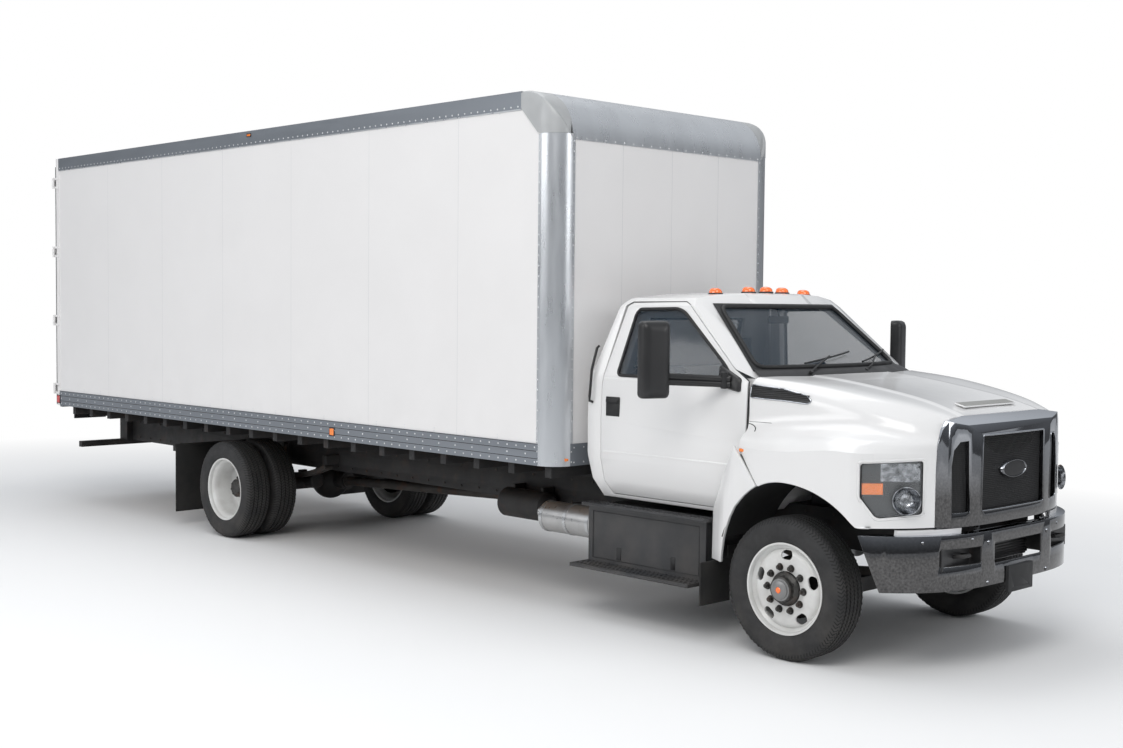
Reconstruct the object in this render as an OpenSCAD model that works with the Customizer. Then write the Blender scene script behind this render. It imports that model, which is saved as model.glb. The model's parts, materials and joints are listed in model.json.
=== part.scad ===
// Box truck: a conventional cab with a tilting hood, a ladder frame and a van body.
// X runs forward, Y to the left, Z up. Stations along X are counted from the front axle
// and placed() moves the whole truck so that the origin is under the middle of its box.

/* [Chassis] */
// Distance from the front axle to the rear axle
wheelbase = 6604; // [6000:4:7000]
// Height of the ladder frame's upper face
frame_top = 910; // [880:5:940]
// Depth of a frame rail
rail_depth = 260; // [220:5:280]
// Width of the frame over both rails
frame_width = 864; // [820:2:900]
// Distance of the bumper's face ahead of the front axle
front_overhang = 1020; // [1000:5:1080]

/* [Wheels] */
// Outside diameter of a tyre
tyre_d = 930; // [900:5:960]
// Least room between a tyre and the body's cross sills
tyre_room = 40; // [30:5:60]
// Width of a tyre
tyre_w = 255; // [235:5:265]
// Diameter of the rims at the bead seat
rim_d = 571.5; // [560:0.5:580]
// Lateral place of a front tyre's middle
front_tyre_y = 1012; // [1000:2:1030]
// Lateral place of an outer rear tyre's middle
rear_tyre_y = 1125; // [1110:2:1135]
// Spacing of the twin rear tyres
dual_spacing = 300; // [285:5:320]
// Lateral place of the kingpins
kingpin_y = 850; // [830:5:855]
// Radius of a kingpin
kingpin_r = 22; // [18:1:28]
// Running clearance of a pin in its bore
run_gap = 0.05; // [0.03:0.01:0.08]

/* [Van body] */
// Length of the van body
body_length = 8130; // [7600:10:8500]
// Width of the van body
body_width = 2540; // [2440:10:2600]
// Height of the van body's roof above the ground
body_top = 3850; // [3500:10:4100]
// Height of the underside of the van body's side rails
body_bottom = 1080; // [1060:5:1120]
// Depth of the side rails at the floor
bottom_rail_h = 165; // [140:5:180]
// Depth of the rails along the roof
top_rail_h = 130; // [110:5:150]
// Thickness of the wall panels
wall = 18; // [14:1:24]
// Outer radius of the front corner posts
post_r = 170; // [140:5:200]
// Outer radius of the roll over the front wall
roll_r = 340; // [280:10:380]
// Thickness of a cargo door leaf
leaf = 32; // [28:1:40]

/* [Cab] */
// Gap between the back of the cab and the van body
cab_gap = 95; // [70:5:160]
// Thickness of the cab's walls
cab_wall = 45; // [40:1:55]
// Thickness of a cab door
door_t = 85; // [75:1:95]
// Thickness of the window glass
glass_t = 8; // [6:1:10]
// Gap all round a door or the hood
shut_gap = 6; // [5:1:9]
// Thickness of the hood and its fenders
hood_t = 24; // [18:1:30]

/* [Hidden] */
$fn = 48;
eps = 1;

right = -1;
left = 1;
tyre_r = tyre_d / 2;
sill_h = 90;
// The body's underside: its own height, or as high as the cross sills need to clear the tyres
body_low = max(body_bottom, tyre_d + tyre_room + sill_h);
axle_z = tyre_r;
frame_bottom = frame_top - rail_depth;
rail_y = frame_width / 2;
rail_flange = 75;
rail_web = 10;
rail_front = 850;
cab_back = -1895;
body_front = cab_back - cab_gap;
body_rear = body_front - body_length;
half_w = body_width / 2;
floor_z = body_low + 35;
bumper_lip = 20;
door_gap = 6;
// Touching pieces of different nodes stand this far apart
fit = 0.4;
// The whole truck runs from the number plate's face to the lock rods of the cargo doors.
lock_rod_d = 26;
truck_front = front_overhang + bumper_lip;
truck_rear = body_rear - leaf - door_gap - lock_rod_d;
origin_x = -(truck_front + truck_rear) / 2;

module placed() { translate([origin_x, 0, 0]) children(); }
// Draws a shape for the right side and its mirror image for the left one
module both() { children(); mirror([0, 1, 0]) children(); }
// Puts a shape made for the right side on the side asked for
module on_side(side) { if (side == right) children(); else mirror([0, 1, 0]) children(); }
// A box given by its lowest and highest corners
module span(a, b) { translate(a) cube(b - a); }
// A round bar from one point to another
module rod(a, b, r) {
    v = b - a;
    translate(a) rotate([0, acos(v.z / norm(v)), atan2(v.y, v.x)]) cylinder(h = norm(v), r = r);
}
// An outline in X and Z, extruded across the truck from y0 to y1
module across(y0, y1) { translate([0, y1, 0]) rotate([90, 0, 0]) linear_extrude(y1 - y0) children(); }
// An outline in Y and Z, extruded along the truck from x0 to x1
module along(x0, x1) {
    translate([x0, 0, 0]) rotate([90, 0, 90]) linear_extrude(x1 - x0) children();
}
// A profile in radius and Y, turned about the axle line at the given station
module turned(x, z) { translate([x, 0, z]) rotate([-90, 0, 0]) rotate_extrude() children(); }
function mirrored(half) = concat(half, [for (i = [len(half) - 1:-1:0]) [-half[i].x, half[i].y]]);

// ---------------------------------------------------------------- chassis
cross_x = [700, -1450, -2700, -3900, -5100, -6000, -7250, -8300, -9300];
// Spring packs: station of the axle, lateral place, half length, eye height, seat height
springs = [[0, rail_y + 38, 600, 640, axle_z + 55], [-wheelbase, rail_y + 108, 720, 690, axle_z + 95]];
spring_w = 70;
spring_t = 50;

module rail() {
    rail_length = rail_front - body_rear - 60;
    translate([rail_front - rail_length, 0, 0]) difference() {
        span([0, -rail_y, frame_bottom], [rail_length, -rail_y + rail_flange, frame_top]);
        span([-eps, -rail_y + rail_web, frame_bottom + rail_web],
            [rail_length + eps, -rail_y + rail_flange + eps, frame_top - rail_web]);
    }
}
// Hangers that carry the two eyes of each spring pack
module spring_hangers() {
    for (s = springs, end = [-1, 1])
        span([s[0] + end * s[2] - 35, -s[1] - spring_w / 2, s[3] + spring_t / 2],
            [s[0] + end * s[2] + 35, -rail_y + rail_web, s[3] + spring_t / 2 + 90]);
}
hood_pivot = [958, 900];
bearing = [cross_x[2], 0, 630];
// Bolt pattern of a towing hook on the last cross plate
hook_spacing = [85.7, 44.5];
hook_hole_r = 6.75;
module frame() color("#1d1d1f") {
    both() { rail(); spring_hangers(); }
    // The second cross member passes over the shaft
    for (x = cross_x) span([x - 35, -rail_y + rail_web + fit, x == cross_x[1] ? shaft_z + 55 : frame_bottom + 40],
        [x + 35, rail_y - rail_web - fit, frame_top - 40]);
    both() {
        // Horn that carries the bumper, and the ear and pin of the hood's hinge
        span([rail_front - eps, -rail_y, frame_bottom + 20],
            [bumper_x(rail_y) - bumper_skin - 2 * fit, -rail_y + 40, frame_top - 60]);
        difference() {
            across(-rail_y, -rail_y + 14) union() {
                polygon([[900, 849], [900, hood_pivot.y + 9], [hood_pivot.x, hood_pivot.y + 9],
                    [hood_pivot.x, hood_pivot.y - 9], [936, hood_pivot.y - 9], [934, 849]]);
                translate(hood_pivot) circle(9);
            }
        }
        translate([hood_pivot.x, -rail_y + 1, hood_pivot.y]) rotate([-90, 0, 0]) cylinder(h = 34, r = 6);
    }
    // Hanger of the shaft's middle bearing
    difference() {
        span([bearing.x - 30, -62, 570], [bearing.x + 30, 62, frame_bottom + 50]);
        translate([bearing.x - 31, 0, bearing.z]) rotate([0, 90, 0]) cylinder(h = 62, r = 50 + fit);
    }
    // Last cross plate, drilled for a towing hook
    difference() {
        span([body_rear + 64, -rail_y + rail_web + fit, 690], [body_rear + 76, rail_y - rail_web - fit, 870]);
        for (y = [-0.5, 0.5] * hook_spacing.x, z = [-0.5, 0.5] * hook_spacing.y)
            translate([body_rear + 50, y, 780 + z]) rotate([0, 90, 0]) cylinder(h = 40, r = hook_hole_r);
    }
}

axle_boss_r = 48;
axle_boss_h = 120;
module front_axle() color("#202022") {
    difference() {
        union() {
            both() {
                translate([0, -kingpin_y, axle_z - axle_boss_h / 2])
                    cylinder(h = axle_boss_h, r = axle_boss_r);
                across(-kingpin_y + 30, -500)
                    polygon([[-45, axle_z - 50], [45, axle_z - 50], [45, axle_z + 25], [-45, axle_z + 25]]);
            }
            span([-45, -505, axle_z - 120], [45, 505, axle_z - 20]);
            both() span([-45, -505, axle_z - 120], [45, -440, axle_z + 25]);
            both() span([-70, -springs[0][1] - spring_w / 2, axle_z - 20],
                [70, -springs[0][1] + spring_w / 2, springs[0][4] - spring_t / 2]);
        }
        both() translate([0, -kingpin_y, axle_z - axle_boss_h])
            cylinder(h = 2 * axle_boss_h, r = kingpin_r + run_gap);
    }
}

spindle_r = 38;
rear_hub_y = rear_tyre_y - dual_spacing / 2;
module rear_axle() color("#1b1b1d") {
    x = -wheelbase;
    rod([x, -690, axle_z], [x, 690, axle_z], 68);
    translate([x, 0, axle_z]) sphere(r = 190);
    rod([x, 0, axle_z + 14], [x + 300, 0, axle_z + 14], 90);
    both() rod([x, -rear_hub_y - 60, axle_z], [x, -650, axle_z], spindle_r);
    both() span([x - 75, -springs[1][1] - spring_w / 2, axle_z],
        [x + 75, -springs[1][1] + spring_w / 2, springs[1][4] - spring_t / 2]);
}

// One curved pack: a parabola through both eyes and the seat
module leaf_pack(s) {
    steps = 12;
    function rise(u) = s[4] + (s[3] - s[4]) * u * u;
    upper = [for (i = [-steps:steps]) [s[0] + s[2] * i / steps, rise(i / steps) + spring_t / 2]];
    lower = [for (i = [steps:-1:-steps]) [s[0] + s[2] * i / steps, rise(i / steps) - spring_t / 2]];
    across(-s[1] - spring_w / 2, -s[1] + spring_w / 2) polygon(concat(upper, lower));
}
module leaf_springs() color("#26262a") both() for (s = springs) leaf_pack(s);

engine_x = [-370, 480];
gearbox_x = -1340;
shaft_z = 690;
module driveshaft() color("#2c2c2e") {
    rear = [-wheelbase + 300, 0, axle_z + 14];
    rod([gearbox_x - 12, 0, shaft_z], bearing, 45);
    rod(bearing, rear + [12, 0, 0], 45);
    rod(bearing - [40, 0, 0], bearing + [40, 0, 0], 50);
    rod(rear + [fit, 0, 0], rear + [22, 0, 0], 62);
    rod([gearbox_x - 22, 0, shaft_z], [gearbox_x - fit, 0, shaft_z], 62);
}
engine_room = 27;
engine_half = rail_y - rail_flange - engine_room;
module engine() color("#3a3b3d") {
    span([engine_x[0], -engine_half, 640], [engine_x[1], engine_half, 1420]);
    span([gearbox_x, -170, 560], [engine_x[0] + eps, 170, 800]);
    // Feet on the rails' lower flanges
    both() span([0, -rail_y + 20, frame_bottom + rail_web + fit], [120, 1 - engine_half, frame_bottom + 50]);
}

// The bumper's face runs back towards its ends on this curve
bumper_half = 1170;
bumper_sweep = 434;
function bumper_x(y) = front_overhang - bumper_sweep * pow(abs(y) / bumper_half, 4.1);
bumper_low = 540;
bumper_high = 886;
bumper_skin = 10;
module bumper_band(depth) {
    ys = [for (i = [-18:18]) bumper_half * sign(i) * pow(abs(i) / 18, 0.8)];
    outer = [for (y = ys) [bumper_x(y), y]];
    inner = [for (i = [len(ys) - 1:-1:0]) [bumper_x(ys[i]) - depth, ys[i] * (1 - 0.06 * depth / 70)]];
    polygon(concat(outer, inner));
}
module rounded(a, b, r) { hull() for (p = [[a.x + r, a.y + r], [b.x - r, a.y + r], [b.x - r, b.y - r],
    [a.x + r, b.y - r]]) translate(p) circle(r, $fn = 24); }
plate_spacing = 177.8;
plate_hole_r = 3.5;
plate_hole_z = 505;
module front_bumper() color("#b9bcc0") {
    skin = bumper_skin;
    difference() {
        union() {
            translate([0, 0, bumper_low]) linear_extrude(bumper_high - bumper_low) bumper_band(skin);
            translate([0, 0, bumper_low]) linear_extrude(skin) bumper_band(70);
            translate([0, 0, bumper_high - skin]) linear_extrude(skin) bumper_band(70);
        }
        along(front_overhang - 120, front_overhang + 10) rounded([-300, 672], [300, 806], 14);
        both() along(front_overhang - 260, front_overhang + 10) rounded([-800, 690], [-445, 800], 14);
        // Slanted ends
        both() translate([0, -bumper_half - 10, 0]) across(0, 260)
            polygon([[500, bumper_low - 10], [bumper_x(bumper_half) + 110, bumper_low - 10],
                [bumper_x(bumper_half) - 5, bumper_high + 10], [500, bumper_high + 10]]);
    }
    // Blank plate with its two holes
    difference() {
        span([front_overhang - 2, -155, 470], [front_overhang + bumper_lip, 155, 640]);
        for (y = [-plate_spacing / 2, plate_spacing / 2]) translate([front_overhang - 9, y, plate_hole_z])
            rotate([0, 90, 0]) cylinder(h = 60, r = plate_hole_r);
    }
}

canister_r = 118;
box_x = [-1870, -tyre_r - 275];
module exhaust_canister() color("#c3c6c9") {
    rod([-2460, -860, 640], [box_x[0] - fit, -860, 640], canister_r);
    rod([-2540, -860, 660], [-2460, -860, 660], 50);
    rod([-2500, -860, 690], [-2500, -rail_y - fit, 690], 20);
}
step_y = -1195;
module step_plate(z, y0, x0, x1) { span([x0, y0, z - 26], [x1, -960, z]); }
module side_box() color("#232428") {
    span([box_x[0], -1020, 350], [box_x[1], -560, 800]);
    step_plate(830, -1085, box_x[0] - 10, box_x[1] + 40);
    span([box_x[0], -1020, 799], [box_x[1], -960, 806]);
    step_plate(392, step_y, box_x[0] - 20, box_x[1] - 10);
    both_ends = [box_x[0] + 100, box_x[1] - 160];
    for (x = both_ends) span([x, -561, 660], [x + 60, -rail_y - fit, 760]);
}
module fuel_tank() color("#9a9da1") mirror([0, 1, 0]) {
    tank_r = 225;
    tank_y = -800;
    tank_z = 585;
    rod([box_x[0], tank_y, tank_z], [box_x[1], tank_y, tank_z], tank_r);
    for (x = [box_x[0] + 180, box_x[1] - 240])
        span([x, tank_y, tank_z - 20], [x + 60, -rail_y - fit, tank_z + 160]);
    step_plate(830, -1085, box_x[0] - 10, box_x[1] + 40);
    span([box_x[0] + 60, -1010, 780], [box_x[1] - 60, -tank_r - 560, 806]);
    step_plate(392, step_y, box_x[0] - 20, box_x[1] - 10);
    for (x = [box_x[0] + 80, box_x[1] - 140]) span([x, -1012, 380], [x + 60, -970, 790]);
}

flap_t = 12;
front_flap_x = -tyre_r - 175;
rear_flap_x = -wheelbase - 900;
module mudflaps() color("#141414") both() {
    span([front_flap_x - flap_t, -1190, 262], [front_flap_x, -880, 555]);
    span([front_flap_x - flap_t, -900, 520], [front_flap_x, -rail_y - 1, 640]);
    span([front_flap_x - flap_t, -rail_y - 60, 600], [front_flap_x, -rail_y, 760]);
    flap_y = rear_tyre_y + tyre_w / 2 - 8;
    span([rear_flap_x - flap_t, -flap_y, 150], [rear_flap_x, -flap_y + dual_spacing + tyre_w + 30, 800]);
    span([rear_flap_x - 60, -flap_y, 760], [rear_flap_x - flap_t, -rail_y, 830]);
}
guard_x = body_rear - 12;
module rear_bumper() color("#17171a") {
    span([guard_x, -1010, 590], [guard_x + 70, 1010, 655]);
    both() span([guard_x, -rail_y - 70, 654], [guard_x + 170, -rail_y - fit, frame_top - 10]);
}

// ---------------------------------------------------------------- cab
// Side outline of the cab, from the rear of the floor round the back, roof and windshield
cab_floor_z = 870;
cab_front = -412;
// The floor is raised over the frame and rests on its rails
tunnel_z = frame_top + fit;
cab_side = [[-1800, cab_floor_z], [-1865, 1000], [cab_back, 1200], [cab_back, 1560],
    [-1872, 1750], [-1722, 2255], [-1670, 2318], [-1500, 2362], [-1250, 2376], [-1000, 2376],
    [-900, 2330], [-300, 1835], [cab_front, 1800], [cab_front, 1300], [-430, 960], [-500, cab_floor_z]];
// Half of the cab's cross-section, from the floor up to the middle of the roof
cab_half = [[-rail_y - 18, tunnel_z], [-rail_y - 38, cab_floor_z], [-930, cab_floor_z], [-985, 1000], [-1013, 1160], [-1015, 1450], [-1002, 1760],
    [-862, 2275], [-800, 2328], [-600, 2356], [-300, 2370]];
windshield_base = [-340, 1855];
windshield_angle = 50.26;
windshield_r = 3720;
// Round surface of the windshield, as the solid behind it
module behind_windshield(inset) {
    n = [sin(90 - windshield_angle), 0, sin(windshield_angle)];
    translate([windshield_base.x, 0, windshield_base.y] - windshield_r * n)
        rotate([0, -windshield_angle, 0])
            cylinder(h = 5000, r = windshield_r - inset, center = true, $fn = 180);
}
module cab_block(inset) {
    intersection() {
        across(-1100, 1100) offset(delta = -inset) polygon(cab_side);
        along(-2000, -200) offset(delta = -inset) polygon(mirrored(cab_half));
        behind_windshield(inset);
    }
}
// The doors' front edge runs along the fender's flare at its foot
door_hinge_x = -418;
door_outline = [[-1690, 900], [-1742, 985], [-1757, 1150], [-1757, 1700], [-1640, 2262], [-1600, 2292],
    [-1110, 2300], [-1050, 2278], [-540, 1845], [door_hinge_x, 1775], [door_hinge_x, 1365],
    [-485, 1255], [-585, 1080], [-660, 960], [-690, 900]];
window_outline = [[-1612, 1768], [-1540, 2215], [-1510, 2246], [-1150, 2254], [-1080, 2228],
    [-640, 1880], [-560, 1800], [-590, 1768]];
windshield_outline = [[-815, 1862], [-672, 2272], [672, 2272], [815, 1862]];
rear_window_outline = [[-620, 1800], [-560, 2180], [560, 2180], [620, 1800]];

// Door openings: lowest and highest Z of each stretch, and how far in it is cut
door_cuts = [[cab_floor_z - 1, 1330, 925 - door_t], [1330, 1790, 990 - door_t], [1790, 2400, 785 - door_t]];
// The opening is wider at its upper rear, where the leaning door swings back as it opens
door_opening = [for (i = [0:len(door_outline) - 1]) door_outline[i] + (i == 4 || i == 5 ? [-18, 3] : [0, 0])];
// Hinge of each cab door, hidden behind the flare: two plates from the cab's front wall, with a pin
door_pin_at = [-370, -1062];
door_pin_r = 6;
door_hinge_z = [1322, 1350];
module hinge_pin(z0, z1, r) { translate([door_pin_at.x, door_pin_at.y, z0]) cylinder(h = z1 - z0, r = r); }
module cab_shell() color("#f2f2f0") {
    both() {
        for (z = [door_hinge_z[0] - 14, door_hinge_z[1] + 2]) {
            translate([0, 0, z]) linear_extrude(12) polygon([[-440, -880], [-432, -940], [-404, -985],
                [door_pin_at.x - 11, door_pin_at.y], [door_pin_at.x + 11, door_pin_at.y], [-396, -880]]);
            hinge_pin(z, z + 12, 11);
        }
        hinge_pin(door_hinge_z[0] - 14, door_hinge_z[1] + 14, door_pin_r);
    }
    difference() {
        cab_block(0);
        cab_block(cab_wall);
        both() for (c = door_cuts) intersection() {
            across(-1100, -c[2]) offset(delta = shut_gap) polygon(door_opening);
            span([-2000, -1100, c[0]], [-300, -600, c[1]]);
        }
        along(-1100, -200) polygon(windshield_outline);
        along(-2000, -1600) polygon(rear_window_outline);
        // Room for the door's hinge arm
        both() span([-460, -1100, door_hinge_z[0] - 6], [cab_front + 5, -985, door_hinge_z[1] + 6]);
    }
}
module cab_glass() color("#8fa3ad", 0.4) {
    intersection() {
        difference() { behind_windshield(6); behind_windshield(6 + glass_t); }
        along(-1100, -200) offset(delta = -fit) polygon(windshield_outline);
    }
    intersection() {
        difference() {
            across(-700, 700) offset(delta = -15) polygon(cab_side);
            across(-700, 700) offset(delta = -15 - glass_t) polygon(cab_side);
        }
        along(-2000, -1600) offset(delta = -fit) polygon(rear_window_outline);
    }
}
// Bow of the hood's rear edge and of the windshield's foot, in plan
bow = 150;
function bowed(y) = bow * max(0, 1 - pow(y / 1000, 2));
bow_line = [for (y = [0, 440, 945, 1000]) [y, bowed(y)]];
hood_rear = -400;
module cowl() color("#18181a") {
    ys = [for (i = [-12:12]) i * 80];
    translate([0, 0, 1768]) linear_extrude(32)
        polygon(concat([for (y = ys) [hood_rear - shut_gap + lookup(abs(y), bow_line), y]],
            [for (i = [len(ys) - 1:-1:0]) [cab_front + fit, ys[i]]]));
}
// Wheel arch: half ellipses of different reach ahead of and behind the axle
arch_top = tyre_d + 228;
arch_ahead = tyre_r + 295;
arch_behind = tyre_r + 95;
function arch_z(x) = axle_z + (arch_top - axle_z)
    * sqrt(max(0, 1 - pow(x / (x > 0 ? arch_ahead : arch_behind), 2)));
function arch_back_x(z) = -arch_behind * sqrt(1 - pow((z - axle_z) / (arch_top - axle_z), 2));
// Parting line between the tilting fender and the fixed flare, in X and Z
part_high = [-400, 1350];
part_low = [-200, arch_z(-200)];
module cowl_sides() color("#f2f2f0") both() {
    zs = [560, 640, 720, 800, 880, 960, 1040, 1080];
    difference() {
        intersection() {
            across(-1180, -940) polygon(concat([for (z = zs) [arch_back_x(z), z]],
                [[part_low.x - shut_gap, part_low.y], [part_high.x - shut_gap, part_high.y]],
                [[door_hinge_x + 8, 1357], [-447, 1288], [-470, 1250], [-573, 1078], [-647, 958], [-680, 890],
                    [-690, 560]]));
            linear_extrude(2000) polygon([[-700, -1013], [-620, -1052], [-520, -1110], [-400, -1152],
                [-180, -1176], [-180, -1151], [-400, -1127], [-520, -1085], [-620, -1027], [-700, -988]]);
        }
        cab_block(-fit);
    }
    // Bracket to the cab's front wall
    span([cab_front + fit, -1131, 1180], [cab_front + 16, -960, 1298]);
}
module dashboard() color("#3c4650") {
    across(-880, 880) polygon([[cab_front - cab_wall - 5, 1300], [cab_front - cab_wall - 5, 1745], [-560, 1785], [-760, 1700], [-790, 1560],
        [-700, 1500], [-640, 1300]]);
    // Steering column
    rod([-700, 380, 1560], [-905, 380, 1660], 32);
}
module seats() color("#7e868c") {
    // Two seats and a narrow one between them
    seat_z = tunnel_z + cab_wall;
    for (y = [-480, 480]) {
        span([-1520, y - 270, seat_z], [-1080, y + 270, 1120]);
        span([-1600, y - 270, 1120], [-1060, y + 270, 1290]);
        across(y - 250, y + 250) polygon([[-1600, 1290], [-1440, 1290], [-1600, 1860], [-1740, 1860]]);
        across(y - 130, y + 130) polygon([[-1725, 1860], [-1630, 1860], [-1640, 2030], [-1715, 2030]]);
    }
    span([-1560, -210 + fit, seat_z], [-1100, 210 - fit, 1270]);
}

// ---------------------------------------------------------------- van body
sill_step = 406;
module cargo_floor() color("#8b6b4a") {
    y = half_w - 30;
    translate([0, 0, body_low]) linear_extrude(floor_z - body_low) polygon([
        [body_rear + 60, -y], [body_front - post_r, -y], [body_front - 30, -half_w + post_r],
        [body_front - 30, half_w - post_r], [body_front - post_r, y], [body_rear + 60, y]]);
}
module floor_sills() color("#1b1b1d") {
    for (i = [0:floor((body_length - 200) / sill_step)]) {
        x = body_front - 120 - i * sill_step;
        span([x - 35, -half_w + 60, body_low - sill_h], [x + 35, half_w - 60, body_low]);
    }
    both() span([body_rear + 70, -rail_y, frame_top + fit], [body_front - 40, -rail_y + 70, body_low - sill_h - fit]);
}
panel_out = half_w - 8;
cap_h = 325;
module cargo_sides() color("#f4f4f2") both()
    across(-panel_out, -panel_out + wall) polygon([[body_rear + 60, floor_z], [body_front - post_r, floor_z],
        [body_front - post_r, body_top - cap_h - 10], [body_front - roll_r - 40, body_top - 40],
        [body_rear + 60, body_top - 40]]);
module cargo_front() color("#f0efee")
    span([body_front - 8 - wall, -half_w + post_r, floor_z],
        [body_front - 8, half_w - post_r, body_top - roll_r]);
module cargo_roof() color("#c9ccd0")
    span([body_rear + 60, -half_w + 60, body_top - 22], [body_front - roll_r, half_w - 60, body_top - 14]);
module bottom_rails() color("#8d9196") {
    z1 = body_low + bottom_rail_h;
    both() span([body_rear + 60, -half_w, body_low], [body_front - post_r, -panel_out, z1]);
    both() span([body_rear + 60, -half_w, body_low], [body_front - post_r, -half_w + 30, floor_z]);
    span([body_front - 8, -half_w + post_r, body_low], [body_front, half_w - post_r, z1]);
    span([body_front - 30, -half_w + post_r, body_low], [body_front, half_w - post_r, floor_z]);
}
module top_rails() color("#8d9196") both() {
    x1 = body_front - roll_r - 40;
    span([body_rear + 60, -half_w, body_top - top_rail_h], [x1, -panel_out, body_top]);
    span([body_rear + 60, -half_w, body_top - 14], [x1, -half_w + 90, body_top]);
}
module quarter_post() {
    difference() {
        translate([body_front - post_r, -half_w + post_r, 0]) cylinder(h = 1, r = post_r);
        translate([body_front - post_r, -half_w + post_r, -1]) cylinder(h = 3, r = post_r - 8);
        span([body_front - 3 * post_r, -half_w - 1, -1], [body_front - post_r, half_w, 2]);
        span([body_front - 3 * post_r, -half_w + post_r, -1], [body_front + 1, half_w, 2]);
    }
}
module corner_posts() color("#b4b8bc") both() {
    height = body_top - cap_h - body_low;
    translate([body_front - post_r, -half_w + post_r, body_low]) rotate([0, 0, 270])
        rotate_extrude(angle = 90, $fn = 64) translate([post_r - 8, 0]) square([8, height]);
    // Flanges lapped inside the wall panels
    span([body_front - post_r + 0.1, -half_w, body_low],
        [body_front - post_r + 12, -half_w + 8, body_top - cap_h]);
}
module nose_roll() color("#a9adb2") {
    y1 = half_w - post_r;
    translate([body_front - roll_r, y1, body_top - roll_r]) rotate([90, 0, 0])
        rotate_extrude(angle = 90, $fn = 64) translate([roll_r - 8, 0]) square([8, 2 * y1]);
    span([body_front - roll_r - 60, -y1, body_top - 14], [body_front - roll_r + 1, y1, body_top - 1]);
}
// Corner casting: the roll's quarter circle carried out to the body's side, rounded to the post
module corner_caps() color("#9b9d9f") both() {
    x0 = body_front - roll_r - 40;
    intersection() {
        difference() {
            across(-half_w, -half_w + post_r) union() {
                translate([body_front - roll_r, body_top - roll_r]) circle(roll_r, $fn = 96);
                polygon([[x0, body_top - top_rail_h], [x0, body_top], [body_front - roll_r, body_top],
                    [body_front - roll_r, body_top - roll_r], [body_front - post_r, body_top - cap_h],
                    [body_front - post_r - 40, body_top - cap_h + 60], [x0, body_top - top_rail_h]]);
                polygon([[body_front - post_r, body_top - cap_h], [body_front - post_r, body_top - 100],
                    [body_front - 60, body_top - 200], [body_front, body_top - cap_h]]);
            }
            across(-panel_out, -half_w + post_r + 1) union() {
                translate([body_front - roll_r, body_top - roll_r]) circle(roll_r - 10, $fn = 96);
                polygon([[x0 - 1, body_top - cap_h], [x0 - 1, body_top - 10],
                    [body_front - roll_r, body_top - 10], [body_front - 10, body_top - roll_r],
                    [body_front - 10, body_top - cap_h - 1]]);
            }
        }
        union() {
            translate([body_front - post_r, -half_w + post_r, body_top - cap_h])
                cylinder(h = cap_h + 1, r = post_r, $fn = 96);
            span([x0, -half_w, body_top - cap_h], [body_front - post_r, 0, body_top + 1]);
        }
    }
}
frame_post_w = 72;
door_top = body_top - 120;
door_low = body_low + 40;
door_pin = [body_rear - leaf - door_gap + 10, -half_w - 20];
pin_r = 8;
strap_z = [for (i = [0:3]) door_low + 150 + i * (door_top - door_low - 300) / 3];
module rear_frame() color("#eceded") {
    x = [body_rear, body_rear + 60];
    // Lugs and pins of the cargo doors' hinges
    both() for (z = strap_z) {
        for (z0 = [z - 60, z + 38]) {
            translate([door_pin.x, door_pin.y, z0]) cylinder(h = 22, r = 12);
            span([door_pin.x, -half_w - 9, z0], [x[1], -half_w + 1, z0 + 22]);
        }
        translate([door_pin.x, door_pin.y, z - 50]) cylinder(h = 100, r = pin_r);
    }
    both() span([x[0], -half_w, body_low], [x[1], -half_w + frame_post_w, body_top]);
    span([x[0], -half_w + frame_post_w - 1, door_top], [x[1], half_w - frame_post_w + 1, body_top]);
    span([x[0], -half_w + frame_post_w - 1, body_low], [x[1], half_w - frame_post_w + 1, door_low]);
}
// Cargo doors hang on pins outboard of the posts, so that they swing round to the body's sides.
module cargo_door(side) color("#f1f1ef") on_side(side) {
    x = [body_rear - leaf - door_gap, body_rear - door_gap];
    span([x[0], -half_w + 8, door_low - 30], [x[1], -4, door_top + 30]);
    // Hinge straps
    for (z = strap_z) difference() {
        union() {
            span([x[0] - 5, door_pin.y, z - 35], [x[0], -half_w + 300, z + 35]);
            translate([door_pin.x, door_pin.y, z - 35]) cylinder(h = 70, r = 14);
        }
        translate([door_pin.x, door_pin.y, z - 36]) cylinder(h = 72, r = pin_r + run_gap);
    }
    // Lock rod with its guides
    for (y = [-half_w + 760]) {
        rod([x[0] - 15, y, door_low - 20], [x[0] - 15, y, door_top + 20], 11);
        for (z = [door_low + 200, (door_low + door_top) / 2, door_top - 200])
            span([x[0] - 24, y - 30, z - 25], [x[0], y + 30, z + 25]);
    }
}

// ---------------------------------------------------------------- hood
// The nose in plan: how far forward the face stands at a given Y, and the other way round
nose_x = 985;
nose_sweep = 385;
nose_half = 1150;
nose_power = 3.2;
function nose_face(y) = nose_x - nose_sweep * pow(abs(y) / nose_half, nose_power);
function nose_side(x) = nose_half * pow(max(0, nose_x - x) / nose_sweep, 1 / nose_power);
hood_front = 875;
fender_low = 930;
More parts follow.
